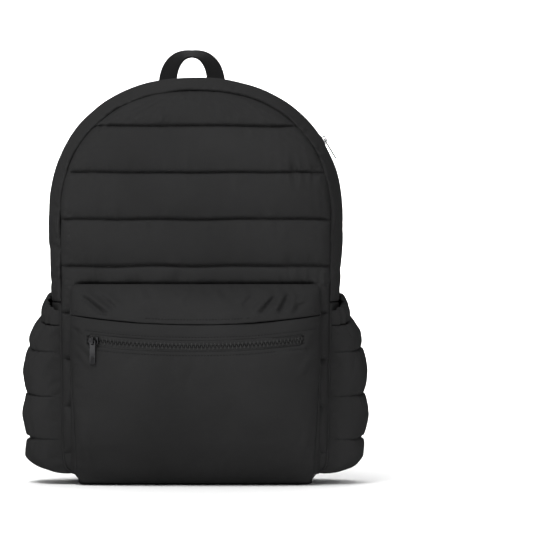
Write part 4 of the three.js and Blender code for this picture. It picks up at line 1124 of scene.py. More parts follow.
SIDE_FRONT_Y = -75.0
SIDE_BACK_Y = 66.0
SIDE_BOTTOM_Z = 12.0
SIDE_TOP_Z = 182.0
SIDE_BULGE = 31.0
SIDE_PUFF = 3.0
SIDE_GROOVE = 2.6
SIDE_GATHER = 4.0
SIDE_GATHER_REACH = 16.0
SIDE_PUCKER = 2.2
LOWEST_QUILT = 0.8
LOW_FOLD_HEIGHT = 1.6
LOW_FOLD_REACH = 34.0
SIDE_SECTION_POWER = 2.8
CUFF_HEIGHT = 22.0
CUFF_BULGE = 11.5
CUFF_SLOPE = 16.0
CASING_RISE = (0, 0.1, 0.25, 0.4, 0.55, 0.7, 0.85, 0.95, 1)
CASING_OUT = (0.93, 0.98, 1.0, 1.0, 0.95, 0.84, 0.66, 0.48, 0.34)
FRONT_END_DROP = 7.0
CUFF_PLEATS = 9
PLEAT_DEPTH = 1.5
SIDE_RISE = (0, 0.005, 0.03, 0.11, 0.23, 0.32, 0.42, 0.52, 0.62, 0.72, 0.82, 0.92, 1)
SIDE_OUT = (-0.2, 0.45, 0.72, 0.92, 0.95, 0.97, 0.98, 0.96, 0.95, 0.92, 0.84, 0.66, 0.38)
SIDE_QUILTS = (0.23, 0.52, 0.82)
SIDE_MIDDLE_Y = (SIDE_FRONT_Y + SIDE_BACK_Y) / 2
SIDE_HALF_Y = (SIDE_BACK_Y - SIDE_FRONT_Y) / 2


def on_side_pocket(side, z, bulge, share):
    """A point on a side pocket; the share runs from its front seam to its back seam."""
    angle = share * math.pi

    def squared(value):
        return np.sign(value) * np.abs(value) ** (2 / SIDE_SECTION_POWER)

    y = SIDE_MIDDLE_Y - SIDE_HALF_Y * squared(np.cos(angle))
    rise = rise_of(np.maximum(z, BASE_HEIGHT))
    wall_x = outline(WIDE_RING, rise)[0]
    seam_x = outline(ring_at(y), rise)[0] - 4
    slope = CUFF_SLOPE * (y - SIDE_MIDDLE_Y) / (2 * SIDE_HALF_Y) * rise_of(z) / rise_of(SIDE_TOP_Z)
    reach = np.clip(wall_x + bulge - seam_x, 0, None)
    x = side * (seam_x + reach * squared(np.sin(angle)))
    return np.stack(np.broadcast_arrays(x, y, z + slope), axis=-1)


def pleat_phase(share, seed):
    """The phase of the pleats along a casing, a little uneven."""
    place = np.stack([share * 40, share * 0], axis=-1)
    return share * CUFF_PLEATS + 0.22 * smooth_noise(place, 9, seed) * np.sin(math.pi * share)


class BACKPACK_OT_side_pockets(bpy.types.Operator):
    """Adds the two quilted side pockets with their gathered elastic casings"""
    bl_idname = "backpack.side_pockets"
    bl_label = "Side Pockets"

    def execute(self, context):
        settings = context.scene.backpack
        for name, side, seed in (("left", -1, 71), ("right", 1, 81)):
            self.add_pocket(settings, name, side, seed)
            self.add_casing(settings, name, side, seed)
        return {"FINISHED"}

    def add_pocket(self, settings, name, side, seed):
        knots = (0, *SIDE_QUILTS, 1)
        height = SIDE_TOP_Z - SIDE_BOTTOM_Z
        rise = spaced_rows([knot * height for knot in knots], (0, 0.9, 2.0, 3.8), 3.4) / height
        is_line = np.min(np.abs(rise[:, None] - SIDE_QUILTS), axis=1) < 1e-4
        share = np.linspace(0, 1, 84)[None, :]
        z = SIDE_BOTTOM_Z + height * rise[:, None]
        along = np.sin(share * math.pi) ** 0.5
        quilt = np.zeros(len(rise))
        for low, high in zip(knots[:-1], knots[1:]):
            part = np.clip((rise - low) / (high - low), 0, 1)
            full = 1 if low > 0 else LOWEST_QUILT
            quilt = np.maximum(quilt, np.sin(math.pi * part) ** 0.6 * full)
        place = np.stack(np.broadcast_arrays(share * 190, z), axis=-1)
        phase = pleat_phase(np.broadcast_to(share, z.shape[:1] + share.shape[1:]), seed)
        gather = np.abs(np.sin(math.pi * phase))
        gather = ((2 * gather ** 0.6 - 1.4) * SIDE_GATHER
                  * np.exp(-(SIDE_TOP_Z - z) / SIDE_GATHER_REACH))
        pucker = smooth_noise(place * [1, 0.15], 12, seed + 1)
        quilts_z = SIDE_BOTTOM_Z + height * np.array(SIDE_QUILTS)
        from_line = np.min(np.abs(z[..., None] - quilts_z), axis=-1)
        pucker = (pucker * np.exp(-from_line / 8) * (1 - np.exp(-from_line / 1.6))
                  * settings.pucker_depth * SIDE_PUCKER)
        pucker = pucker - SIDE_GROOVE * np.exp(-(from_line / GROOVE_WIDTH) ** 2)
        low_folds = (LOW_FOLD_HEIGHT * smooth_noise(place * [0.25, 1], 26, seed + 2)
                     * np.exp(-(z - SIDE_BOTTOM_Z) / LOW_FOLD_REACH))
        bulge = SIDE_BULGE * curve_at(SIDE_RISE, SIDE_OUT, rise)[:, None] - 1.2
        bulge = bulge + (SIDE_PUFF * quilt[:, None] + gather + pucker + low_folds) * along
        wander = settings.line_wander * smooth_noise(place, 60, seed + 3)
        wander = wander * np.clip(np.sin(math.pi * share), 0, 1)
        wander = wander * np.clip(np.minimum(rise, 1 - rise)[:, None] * 12, 0, 1)
        points = on_side_pocket(side, z + wander, bulge, share)
        pocket = grid_object(f"side_pocket_cloth_{name}", points, towards(side, 0, 0))
        pins = edge_pins(points)
        pins[is_line] = 1
        fill_with_air(pocket, pins.ravel(), settings.filling_pressure, 0.03, 5)
        finish_cloth(pocket, 2.4)
        dress(pocket, materials(settings)["nylon"], "nylon_fabric", f"side_pocket_{name}")
        lines = [points[i, 3:-3] for i in np.flatnonzero(is_line)]
        quilting_stitches(f"side_pocket_thread_{name}", pocket, lines, settings)

    def add_casing(self, settings, name, side, seed):
        share = np.linspace(0, 1, CUFF_PLEATS * 20 + 1)
        height = np.array([0, 0.04, 0.1, 0.2, 0.32, 0.46, 0.6, 0.74, 0.86, 0.94, 1])[:, None]
        phase = pleat_phase(share, seed)
        wave = 0.5 + 0.5 * np.cos(2 * math.pi * phase)
        pleat = 2 * wave ** 1.5 - 1
        depth = np.array([1, 0.9, 0.8, 0.75, 0.7, 0.7, 0.75, 0.85, 0.95, 1, 1])[:, None]
        uneven = 1 + 0.35 * smooth_noise(np.stack([share * 60, share * 0], axis=-1), 14, seed + 5)
        bulge = (CUFF_BULGE * curve_at(CASING_RISE, CASING_OUT, height)
                 + PLEAT_DEPTH * depth * pleat[None, :] * uneven)
        low = SIDE_TOP_Z + SEAM_GAP
        lift = 0.7 * smooth_noise(np.stack([share * 60, share * 0], axis=-1), 12, seed + 6) * height
        lift = lift - FRONT_END_DROP * np.exp(-share[None, :] / 0.16) * height
        points = on_side_pocket(side, low + CUFF_HEIGHT * height + lift, bulge, share[None, :])
        casing = grid_object(f"side_pocket_casing_{name}", points, towards(side, 0, 0))
        finish_cloth(casing, 2.4)
        dress(casing, materials(settings)["nylon"], "nylon_fabric", f"side_pocket_cuff_{name}")
        lines = [points[1, 4:-4]]
        quilting_stitches(f"casing_thread_{name}", casing, lines, settings)


# Webbing: the grab handle and the straps' tapes

WEBBING_SECTION = (
    (-0.5, 0.0), (-0.485, 0.34), (-0.45, 0.5), (-0.36, 0.44), (-0.15, 0.47), (0.15, 0.47),
    (0.36, 0.44), (0.45, 0.5), (0.485, 0.34), (0.5, 0.0), (0.485, -0.34), (0.45, -0.5),
    (0.36, -0.44), (0.15, -0.47), (-0.15, -0.47), (-0.36, -0.44), (-0.45, -0.5), (-0.485, -0.34),
)
HANDLE_X = -4.0
HANDLE_SPREAD = 27.5
HANDLE_RISE = 54.0
HANDLE_LEAN = math.radians(23)
HANDLE_WIDTH = 21.0
HANDLE_THICK = 2.4
HANDLE_LEG_SHARE = 0.3
HANDLE_TURN = math.radians(44)


def unit(vectors):
    vectors = np.asarray(vectors, float)
    return vectors / np.maximum(np.linalg.norm(vectors, axis=-1, keepdims=True), 1e-9)


def tangents(line):
    return unit(np.gradient(line, axis=0))


def loft(name, sections, across, along, closed=False):
    """A closed body through rows of section points, with its UV in millimetres."""
    rows, sides = sections.shape[:2]
    faces = grid_faces(rows + closed, sides, closed=True)
    count = rows * sides
    faces = [tuple(v % count for v in face) for face in faces]
    verts = sections.reshape(-1, 3)
    uvs = np.stack(np.broadcast_arrays(across, along[:, None]), axis=-1).reshape(-1, 2)
    if not closed:
        verts = np.concatenate([verts, sections[[0, -1]].mean(axis=1)])
        uvs = np.concatenate([uvs, [[0, along[0]], [0, along[-1]]]])
        faces += [(count, (j + 1) % sides, j) for j in range(sides)]
        last = (rows - 1) * sides
        faces += [(count + 1, last + j, last + (j + 1) % sides) for j in range(sides)]
    obj = mesh_object(name, verts, faces, uvs)
    outward_normals(obj)
    return obj


def outward_normals(obj):
    shape = bmesh.new()
    shape.from_mesh(obj.data)
    bmesh.ops.recalc_face_normals(shape, faces=shape.faces)
    shape.to_mesh(obj.data)
    shape.free()


def ribbon(name, line, width_way, width, thick):
    """A strip of webbing along a line of points, with rounded selvedges."""
    line = np.asarray(line, float)
    along = tangents(line)
    width_way = unit(np.broadcast_to(width_way, line.shape))
    through = unit(np.cross(along, width_way))
    width = np.broadcast_to(width, len(line))
    section = np.array(WEBBING_SECTION)
    sections = (line[:, None] + section[None, :, :1] * width[:, None, None] * width_way[:, None]
                + section[None, :, 1:] * thick * through[:, None])
    run = run_along(line)
    return loft(name, sections, section[None, :, 0] * width[:, None], run)


def tube(name, line, radius, closed=False):
    """A thin round cord or binding along a line of points."""
    line = np.asarray(line, float)
    if closed:
        along = unit(np.roll(line, -1, axis=0) - np.roll(line, 1, axis=0))
    else:
        along = tangents(line)
    clear_way = np.where(np.abs(along[:, 1:2]) > 0.9, [[1.0, 0, 0]], [[0, 1.0, 0]])
    side = unit(np.cross(along, clear_way))
    other = np.cross(along, side)
    angle = np.linspace(0, 2 * math.pi, 10, endpoint=False)
    ring = (np.cos(angle)[None, :, None] * side[:, None] * radius
            + np.sin(angle)[None, :, None] * other[:, None] * radius)
    run = run_along(line)
    return loft(name, line[:, None] + ring, (angle * radius)[None, :], run, closed=closed)


def spline(points, count):
    """Evenly spaced points on a smooth line through a few."""
    points = np.asarray(points, float)
    knots = run_along(points)
    at = np.linspace(0, knots[-1], count)
    return np.stack([curve_at(knots, values, at) for values in points.T], axis=-1)


class BACKPACK_OT_grab_handle(bpy.types.Operator):
    """Adds the webbing handle, which faces the front at its legs and turns edge-on over the top"""
    bl_idname = "backpack.grab_handle"
    bl_label = "Grab Handle"

    def execute(self, context):
        settings = context.scene.backpack
        up = np.array([0, math.sin(HANDLE_LEAN), math.cos(HANDLE_LEAN)])
        facing = np.array([0, math.cos(HANDLE_LEAN), -math.sin(HANDLE_LEAN)])
        root = np.array([HANDLE_X, BACK_Y + HANDLE_THICK, WIDE_RING[1] - BACK_CROWN - 8])
        leg = HANDLE_RISE * HANDLE_LEG_SHARE
        share = np.linspace(0, 1, 81)
        arch = np.clip((share - 0.2) / 0.6, 0, 1)
        angle = math.pi * (1 - arch)
        rise = np.where(share < 0.2, leg * share / 0.2, leg * np.minimum((1 - share) / 0.2, 1))
        rise = rise + (HANDLE_RISE - leg) * np.sin(angle)
        line = root + rise[:, None] * up
        line[:, 0] += HANDLE_SPREAD * np.sign(np.cos(angle)) * np.abs(np.cos(angle)) ** 0.8
        line = smooth_line(line, 10)
        line[:, 2] -= np.where(share < 0.06, (0.06 - share) * 120, 0)
        line[:, 2] -= np.where(share > 0.94, (share - 0.94) * 120, 0)
        along = tangents(line)
        side = unit(np.cross(along, facing))
        climb = np.clip((1 - np.abs(share - 0.5) * 2 - 0.2) / 0.8, 0, 1)
        turn = (HANDLE_TURN * climb ** 1.3)[:, None]
        width_way = side * np.cos(turn) + facing * np.sin(turn)
        handle = ribbon("grab_handle_webbing", line, width_way, HANDLE_WIDTH, HANDLE_THICK)
        dress(handle, materials(settings)["webbing"], "webbing", "grab_handle")
        return {"FINISHED"}


def smooth_line(line, rounds):
    line = line.copy()
    for _ in range(rounds):
        line[1:-1] = (line[:-2] + 2 * line[1:-1] + line[2:]) / 4
    return line


# The shoulder straps

STRAP_X = 45.0
PAD_WIDTH = 48.0
PAD_THICK = 11.0
STRAP_TOP_Z = 424.0
STRAP_REACH = {"left": 78.0, "right": 105.0}
STRAP_DROP = {"left": 248.0, "right": 278.0}
PAD_OUT = (-0.06, 0.13, 0.34, 0.57, 0.76, 0.88, 0.95, 0.99, 1.0, 0.98, 0.93, 0.915)
PAD_DOWN = (0, -0.022, 0.015, 0.09, 0.2, 0.32, 0.45, 0.58, 0.72, 0.86, 0.97, 1.0)
PAD_SWELL = (0.45, 0.7, 0.95, 1, 1, 1, 1, 1, 1, 0.95, 0.8, 0.6)
PAD_QUILTS = 5
PAD_BINDING = 2.6
PAD_SQUARENESS = 0.75
PAD_PINCH = 0.38
WEB_WIDTH = 28.0
WEB_THICK = 1.8
LOCK_WIDTH = 45.0
LOCK_HEIGHT = 28.0
LOCK_THICK = 4.0
LOCK_BAR = 4.0
LOCK_SLOT_PLAY = 1.5
LOCK_TILT = {"left": math.radians(8), "right": math.radians(-24)}
TAIL_LENGTH = 24.0
ANCHOR_ROOT_Z = 42.0
ANCHOR_TIP_Z = 80.0
ANCHOR_OUT = 17.0
ANCHOR_WIDTH = 36.0
ANCHOR_THICK = 3.0
BOX_STITCH_ENDS = (0.62, 0.95)
BOX_STITCH_HALF = 11
ACROSS = np.array([1.0, 0.0, 0.0])


class Strap:
    """Where one shoulder strap's parts lie, from its pad's line down to its anchor."""

    def __init__(self, name, side):
        self.name = name
        self.middle = np.array([side * STRAP_X, 0, 0])
        out_y = BACK_PLANE_Y + STRAP_REACH[name] * np.array(PAD_OUT)
        down_z = STRAP_TOP_Z - STRAP_DROP[name] * np.array(PAD_DOWN)
        rows = np.stack([np.zeros(len(PAD_OUT)), out_y, down_z], axis=-1)
        self.knots = rows + self.middle
        tilt = LOCK_TILT[name]
        self.up = np.array([0, math.sin(tilt), math.cos(tilt)])
        self.out = np.array([0, math.cos(tilt), -math.sin(tilt)])
        self.loop_reach = LOCK_HEIGHT / 2 + 5
        self.centre = self.knots[-1] - self.up * (self.loop_reach + SEAM_GAP)

    def on_lock(self, rise, away):
        return self.centre + self.up * rise + self.out * away

    def pad_line(self, count):
        return spline(self.knots, count)


class BACKPACK_OT_shoulder_pads(bpy.types.Operator):
    """Adds the two padded shoulder straps with their stitched channels and bound edges"""
    bl_idname = "backpack.shoulder_pads"
    bl_label = "Shoulder Pads"

    def execute(self, context):
        settings = context.scene.backpack
        for name, side, seed in (("left", -1, 91), ("right", 1, 96)):
            strap = Strap(name, side)
            line = strap.pad_line(120)
            run = run_along(line)
            knots = run_along(strap.knots)
            swell = curve_at(knots / knots[-1], PAD_SWELL, run / run[-1])
            ease = np.clip((swell - 0.4) / 0.6, 0, 1)
            width = PAD_WIDTH * (0.86 + 0.14 * ease * ease * (3 - 2 * ease)) - 1.5
            through = unit(np.cross(ACROSS, tangents(line)))
            lines_at = run[-1] * (np.arange(1, PAD_QUILTS + 1) / (PAD_QUILTS + 0.6))
            pinch = np.exp(-np.min(np.abs(run[:, None] - lines_at), axis=1) / 2.6)
            thick = PAD_THICK * swell * (1 - PAD_PINCH * pinch) * 0.9
            angle = np.linspace(0, 2 * math.pi, 36, endpoint=False)
            section_x = 0.5 * np.sign(np.cos(angle)) * np.abs(np.cos(angle)) ** PAD_SQUARENESS
            section_y = 0.5 * np.sign(np.sin(angle)) * np.abs(np.sin(angle)) ** PAD_SQUARENESS
            place = np.stack(np.broadcast_arrays(run[:, None], angle[None, :] * 8), axis=-1)
            ripple = 1 + 0.07 * smooth_noise(place, 17, seed) * (1 - 0.5 * pinch[:, None])
            rippled = (section_y[None, :] * ripple)[..., None]
            sections = (line[:, None] + section_x[None, :, None] * width[:, None, None] * ACROSS
                        + rippled * thick[:, None, None] * through[:, None])
            pad = loft(f"shoulder_pad_cloth_{name}", sections,
                       section_x[None, :] * width[:, None], run)
            pins = np.zeros(len(pad.data.vertices))
            rings = np.abs(run[:, None] - lines_at).min(axis=1) < run[-1] / 230
            rings[[0, 1, -2, -1]] = True
            grid = np.zeros((len(run), len(angle)))
            grid[rings] = 1
            grid[:, [0, 18]] = 1
            pins[:grid.size] = grid.ravel()
            pins[grid.size:] = 1
            fill_with_air(pad, pins, 2.5, 0.02, 2.0)
            dress(pad, materials(settings)["nylon"], "nylon_fabric", f"shoulder_pad_{name}")
            for edge_name, edge in (("inner", -1), ("outer", 1)):
                edge_line = line + ACROSS * (edge * width / 2)[:, None]
                binding = tube(f"pad_binding_{name}_{edge_name}", edge_line[6:], PAD_BINDING / 2)
                dress(binding, materials(settings)["webbing"], "webbing")
            spread = ACROSS * np.linspace(-0.44, 0.44, 14)[:, None]
            rows = [line[i] + spread * width[i] + through[i] * sign * 4
                    for i in np.flatnonzero(rings)[2:-2:2] for sign in (-1, 1)]
            quilting_stitches(f"pad_thread_{name}", pad, rows, settings)
        return {"FINISHED"}


class BACKPACK_OT_strap_webbing(bpy.types.Operator):
    """Adds each strap's anchor tab, lock loop and adjusting webbing with its loose tail"""
    bl_idname = "backpack.strap_webbing"
    bl_label = "Strap Webbing"

    def execute(self, context):
        settings = context.scene.backpack
        for name, side in (("left", -1), ("right", 1)):
            self.add_tapes(settings, Strap(name, side))
        return {"FINISHED"}

    def add_tapes(self, settings, strap):
        name = strap.name
        finish = materials(settings)["webbing"]
        clear = LOCK_THICK / 2 + WEB_THICK / 2 + 2 * SEAM_GAP
        turn_low = LOCK_HEIGHT / 2 - LOCK_BAR - WEB_THICK / 2 - 2 * SEAM_GAP
        top = strap.loop_reach + 1.5
        loop = [strap.on_lock(top, clear), strap.on_lock(turn_low + 1.6, clear),
                strap.on_lock(turn_low, clear - 1.2), strap.on_lock(turn_low, 1.2 - clear),
                strap.on_lock(turn_low + 1.6, -clear), strap.on_lock(top, -clear)]
        tape = ribbon(f"lock_loop_webbing_{name}", spline(loop, 60), ACROSS, WEB_WIDTH, WEB_THICK)
        dress(tape, finish, "webbing", f"lock_loop_{name}")

        root = strap.middle + [0, BACK_INNER_Y + BACK_EDGE + SEAM_GAP, ANCHOR_ROOT_Z]
        tip = strap.middle + [0, BACK_PLANE_Y + ANCHOR_OUT, ANCHOR_TIP_Z]
        tab_along = unit(tip - root)
        tab_out = -np.cross(ACROSS, tab_along)
        share = np.linspace(0, 1, 24)[:, None]
        sag = 0.8 * np.sin(math.pi * share) * tab_out
        tab = ribbon(f"anchor_tab_{name}", root + (tip - root) * share - sag, ACROSS,
                     ANCHOR_WIDTH + (WEB_WIDTH - ANCHOR_WIDTH) * share[:, 0], ANCHOR_THICK)
        dress(tab, finish, "webbing", f"strap_anchor_{name}")

        lift = (ANCHOR_THICK + WEB_THICK) / 2 + SEAM_GAP
        on_tab = [root + (tip - root) * at + tab_out * lift for at in (0.55, 0.8, 1)]
        bar = LOCK_BAR / 2 + WEB_THICK / 2 + 2 * SEAM_GAP
        low_end = strap.on_lock(-LOCK_HEIGHT / 2 - 2, -clear)
        leave = on_tab[-1] + tab_along * 3
        pull = low_end - leave
        between = [leave + pull * at - [0, 0, 0.12 * np.linalg.norm(pull) * math.sin(at * math.pi)]
                   for at in (0.25, 0.5, 0.75)]
        line = [*on_tab, leave, *between, low_end, strap.on_lock(bar - 1.4, -clear),
                strap.on_lock(bar, 1.2 - clear), strap.on_lock(bar, clear - 1.2),
                strap.on_lock(bar - 1.4, clear), strap.on_lock(-LOCK_HEIGHT / 2, clear),
                strap.on_lock(-LOCK_HEIGHT / 2 - TAIL_LENGTH / 2, clear + 1),
                strap.on_lock(-LOCK_HEIGHT / 2 - TAIL_LENGTH, clear + 4)]
        tape = ribbon(f"adjusting_webbing_{name}", spline(line, 200), ACROSS, WEB_WIDTH, WEB_THICK)
        dress(tape, finish, "webbing", f"strap_webbing_{name}")
        start, end = (root + (tip - root) * at + tab_out * (lift + WEB_THICK / 2)
                      for at in BOX_STITCH_ENDS)
        box_rows = [middle + ACROSS * np.linspace(-BOX_STITCH_HALF, BOX_STITCH_HALF, 12)[:, None]
                    for middle in (start, end)]
        for edge in (-BOX_STITCH_HALF, BOX_STITCH_HALF):
            box_rows.append(start + (end - start) * np.linspace(0, 1, 9)[:, None] + ACROSS * edge)
        quilting_stitches(f"anchor_thread_{name}", tape, box_rows, settings)


# Hard pieces, modelled in edit mode

def begin_block(name, size):
    """A primitive cube at its size, round the origin."""
    bpy.ops.object.select_all(action="DESELECT")
    bpy.ops.mesh.primitive_cube_add(size=1)
    obj = bpy.context.active_object
    obj.name = name
    obj.data.name = name
    edit(obj, lambda: bpy.ops.transform.resize(value=tuple(np.array(size) * MM)), everything=True)
    return obj


def edit(obj, action, everything=False, faces=None, edges=None):
    """Runs one edit-mode action on the whole mesh, or on the faces or edges that pass a test."""
    active(obj)
    bpy.ops.object.mode_set(mode="EDIT")
    bpy.ops.mesh.select_mode(type="EDGE" if edges else "FACE")
    bpy.ops.mesh.select_all(action="SELECT" if everything else "DESELECT")
    shape = bmesh.from_edit_mesh(obj.data)
    for face in shape.faces if faces else ():
        if faces(np.array(face.calc_center_median()) / MM, np.array(face.normal)):
            face.select_set(True)
    for edge in shape.edges if edges else ():
        start, end = (np.array(v.co) / MM for v in edge.verts)
        if edges((start + end) / 2, unit(end - start)):
            edge.select_set(True)
    bmesh.update_edit_mesh(obj.data)
    action()
    bpy.ops.object.mode_set(mode="OBJECT")


def cut_at(obj, axis, *places):
    """Cuts the whole mesh by planes across an axis."""
    normal = [0, 0, 0]
    normal[axis] = 1
    for place in places:
        point = tuple(np.array(normal) * place * MM)
        edit(obj, lambda: bpy.ops.mesh.bisect(plane_co=point, plane_no=tuple(normal)),
             everything=True)


def open_window(obj, axis, inside):
    """A hole through the mesh along an axis, between the two faces that pass the test."""
    edit(obj, bpy.ops.mesh.bridge_edge_loops,
         faces=lambda centre, normal: abs(normal[axis]) > 0.9 and inside(centre))


def round_edges(obj, width, segments=2):
    """Breaks every sharp edge."""
    active(obj)
    bpy.ops.object.mode_set(mode="EDIT")
    bpy.ops.mesh.select_mode(type="EDGE")
    bpy.ops.mesh.select_all(action="DESELECT")
    bpy.ops.mesh.edges_select_sharp(sharpness=math.radians(35))
    bpy.ops.mesh.bevel(offset=width * MM, segments=segments, affect="EDGES", clamp_overlap=True)
    bpy.ops.object.mode_set(mode="OBJECT")
    bpy.ops.object.shade_smooth_by_angle(angle=math.radians(40))


def settle(obj, origin, x_way, y_way, z_way):
    """Moves the mesh from its own axes to its place on the bag; the object stays at the origin."""
    matrix = Matrix([[*row] for row in np.column_stack([x_way, y_way, z_way])]).to_4x4()
    matrix.translation = Vector(np.asarray(origin, float) * MM)
    obj.data.transform(matrix)
    obj.data.update()
    return obj


def copy_of(obj, name):
    copy = obj.copy()
    copy.data = obj.data.copy()
    copy.name = name
    copy.data.name = name
    bpy.context.scene.collection.objects.link(copy)
    return copy


def join_to(obj, *others):
    active(obj)
    for other in others:
        other.select_set(True)
    bpy.ops.object.join()
    return obj


def drop_object(obj):
    bpy.data.objects.remove(obj, do_unlink=True)


def repeat_mesh(name, pattern, origins, x_ways, z_ways):
    """One mesh of copies of a modelled pattern, each with its own place and axes."""
    verts = np.array([tuple(v.co) for v in pattern.data.vertices]) / MM
    faces = [tuple(p.vertices) for p in pattern.data.polygons]
    x_ways, z_ways = unit(x_ways), unit(z_ways)
    y_ways = unit(np.cross(z_ways, x_ways))
    z_ways = np.cross(x_ways, y_ways)
    placed = (origins[:, None] + verts[None, :, :1] * x_ways[:, None]
              + verts[None, :, 1:2] * y_ways[:, None] + verts[None, :, 2:] * z_ways[:, None])
    every = [tuple(v + i * len(verts) for v in face) for i in range(len(origins)) for face in faces]
    return mesh_object(name, placed.reshape(-1, 3), every)


STITCH_PITCH = 3.4
STITCH_LENGTH = 2.4
STITCH_RADIUS = 0.3


def stitch_pattern():
    """One stitch: a small six-sided cylinder with its ends drawn in."""
    bpy.ops.object.select_all(action="DESELECT")
    bpy.ops.mesh.primitive_cylinder_add(
        vertices=6, radius=STITCH_RADIUS * MM, depth=STITCH_LENGTH * 0.7 * MM,
        rotation=(0, math.pi / 2, 0))
    obj = bpy.context.active_object
    bpy.ops.object.transform_apply(location=False, rotation=True, scale=False)
    for side in (-1, 1):
        def draw_in():
            move = (side * STITCH_LENGTH * 0.15 * MM, 0, -STITCH_RADIUS * MM)
            bpy.ops.mesh.extrude_region_move(TRANSFORM_OT_translate={"value": move})
            bpy.ops.transform.resize(value=(1, 0.4, 0.4))
        edit(obj, draw_in, faces=lambda centre, normal: normal[0] * side > 0.9)
    return obj


def stitch_rows(name, rows, cloth):
    """Stitches along rows of points, each laid on the nearest place of a finished cloth."""
    mesh = cloth.data
    tree = BVHTree.FromPolygons([v.co for v in mesh.vertices],
                                [tuple(p.vertices) for p in mesh.polygons])
    origins, x_ways, z_ways = [], [], []
    for row in rows:
        row = np.asarray(row, float)
        knots = run_along(row)
        count = max(int(knots[-1] / STITCH_PITCH), 1)
        at = (np.arange(count) + 0.5) * knots[-1] / count
        for low, high in zip(at - STITCH_LENGTH / 2, at + STITCH_LENGTH / 2):
            ends = [np.array([np.interp(share, knots, row[:, axis]) for axis in range(3)])
                    for share in (low, high)]
            hits = [tree.find_nearest(Vector(end * MM)) for end in ends]
            start, end = (np.array(hit[0]) / MM for hit in hits)
            normal = np.array(hits[0][1]) + np.array(hits[1][1])
            origins.append((start + end) / 2)
            x_ways.append(end - start)
            z_ways.append(normal)
    pattern = stitch_pattern()
    thread = repeat_mesh(name, pattern, np.array(origins), np.array(x_ways), np.array(z_ways))
    drop_object(pattern)
    return thread


class BACKPACK_OT_ladder_locks(bpy.types.Operator):
    """Adds the two ladder locks, modelled once as a frame with three bars and a lifting lip"""
    bl_idname = "backpack.ladder_locks"
    bl_label = "Ladder Locks"

    def execute(self, context):
        settings = context.scene.backpack
        half_width, half_height = LOCK_WIDTH / 2, LOCK_HEIGHT / 2
        slot = WEB_WIDTH / 2 + LOCK_SLOT_PLAY
        lock = begin_block("ladder_lock_pattern", (LOCK_WIDTH, LOCK_HEIGHT, LOCK_THICK))
        cut_at(lock, 0, -slot, slot)
        edges = (LOCK_BAR / 2, half_height - LOCK_BAR)
        cut_at(lock, 1, *(sign * place for place in edges for sign in (-1, 1)))
        for sign in (-1, 1):
            open_window(lock, 2, lambda c: abs(c[0]) < slot and edges[0] < sign * c[1] < edges[1])
        edit(lock, lambda: bpy.ops.mesh.bevel(offset=3 * MM, segments=4, affect="EDGES"),
             edges=lambda middle, way: abs(way[2]) > 0.9 and abs(middle[0]) > half_width - 0.1
             and abs(middle[1]) > half_height - 0.1)

        def lift_lip():
            for move in ((0, -1.8 * MM, 0.5 * MM), (0, -1.4 * MM, 0.9 * MM)):
                bpy.ops.mesh.extrude_region_move(TRANSFORM_OT_translate={"value": move})
            bpy.ops.transform.resize(value=(0.94, 1, 0.6))
        edit(lock, lift_lip, faces=lambda c, n: (n[1] < -0.9 and abs(c[0]) < slot
                                                 and c[1] < -half_height + 0.1))
        round_edges(lock, 0.6)
        for name, side in (("left", -1), ("right", 1)):
            strap = Strap(name, side)
            placed = copy_of(lock, f"ladder_lock_moulding_{name}")
            settle(placed, strap.centre, ACROSS, strap.up, np.cross(ACROSS, strap.up))
            dress(placed, materials(settings)["plastic"], "buckle_plastic", f"ladder_lock_{name}")
        drop_object(lock)
        return {"FINISHED"}


# Zips

MAIN_CHAIN_WIDTH = 7.4
CHAIN_RECESS = 0.8
MAIN_SLIDER_Z = 378.0
POCKET_SLIDER_X = -108.8
TOOTH_PITCH = 2.1
TOOTH_LENGTH = 4.2
TOOTH_WIDTH = 1.35
TOOTH_HEIGHT = 1.7
TAPE_THICK = 0.9
BACKING_THICK = 0.5
CHAIN_GAP = 1.2
SLIDER_LENGTH = 12.0
SLIDER_WIDTH = 7.4
SLIDER_THICK = 3.2
BRIDGE_LENGTH = 7.0
BRIDGE_WIDTH = 2.6
BRIDGE_EYE_LENGTH = 4.4
BRIDGE_EYE_HEIGHT = 2.2
BRIDGE_TOP = 1.2
PULL_LENGTH = 26.0
PULL_WIDTH = 7.0
PULL_THICK = 1.4
PULL_WINDOW_LENGTH = 4.0
PULL_PLAY = 0.5


def tooth_pattern():
    """One zip tooth: a block with its nose drawn in and its edges broken. It points along +Y."""
    tooth = begin_block("zip_tooth", (TOOTH_WIDTH, TOOTH_LENGTH, TOOTH_HEIGHT))
    cut_at(tooth, 1, TOOTH_LENGTH * 0.1)
    edit(tooth, lambda: bpy.ops.transform.resize(value=(0.62, 1, 0.8)),
         faces=lambda centre, normal: normal[1] > 0.9)
    round_edges(tooth, 0.18, segments=1)
    return tooth


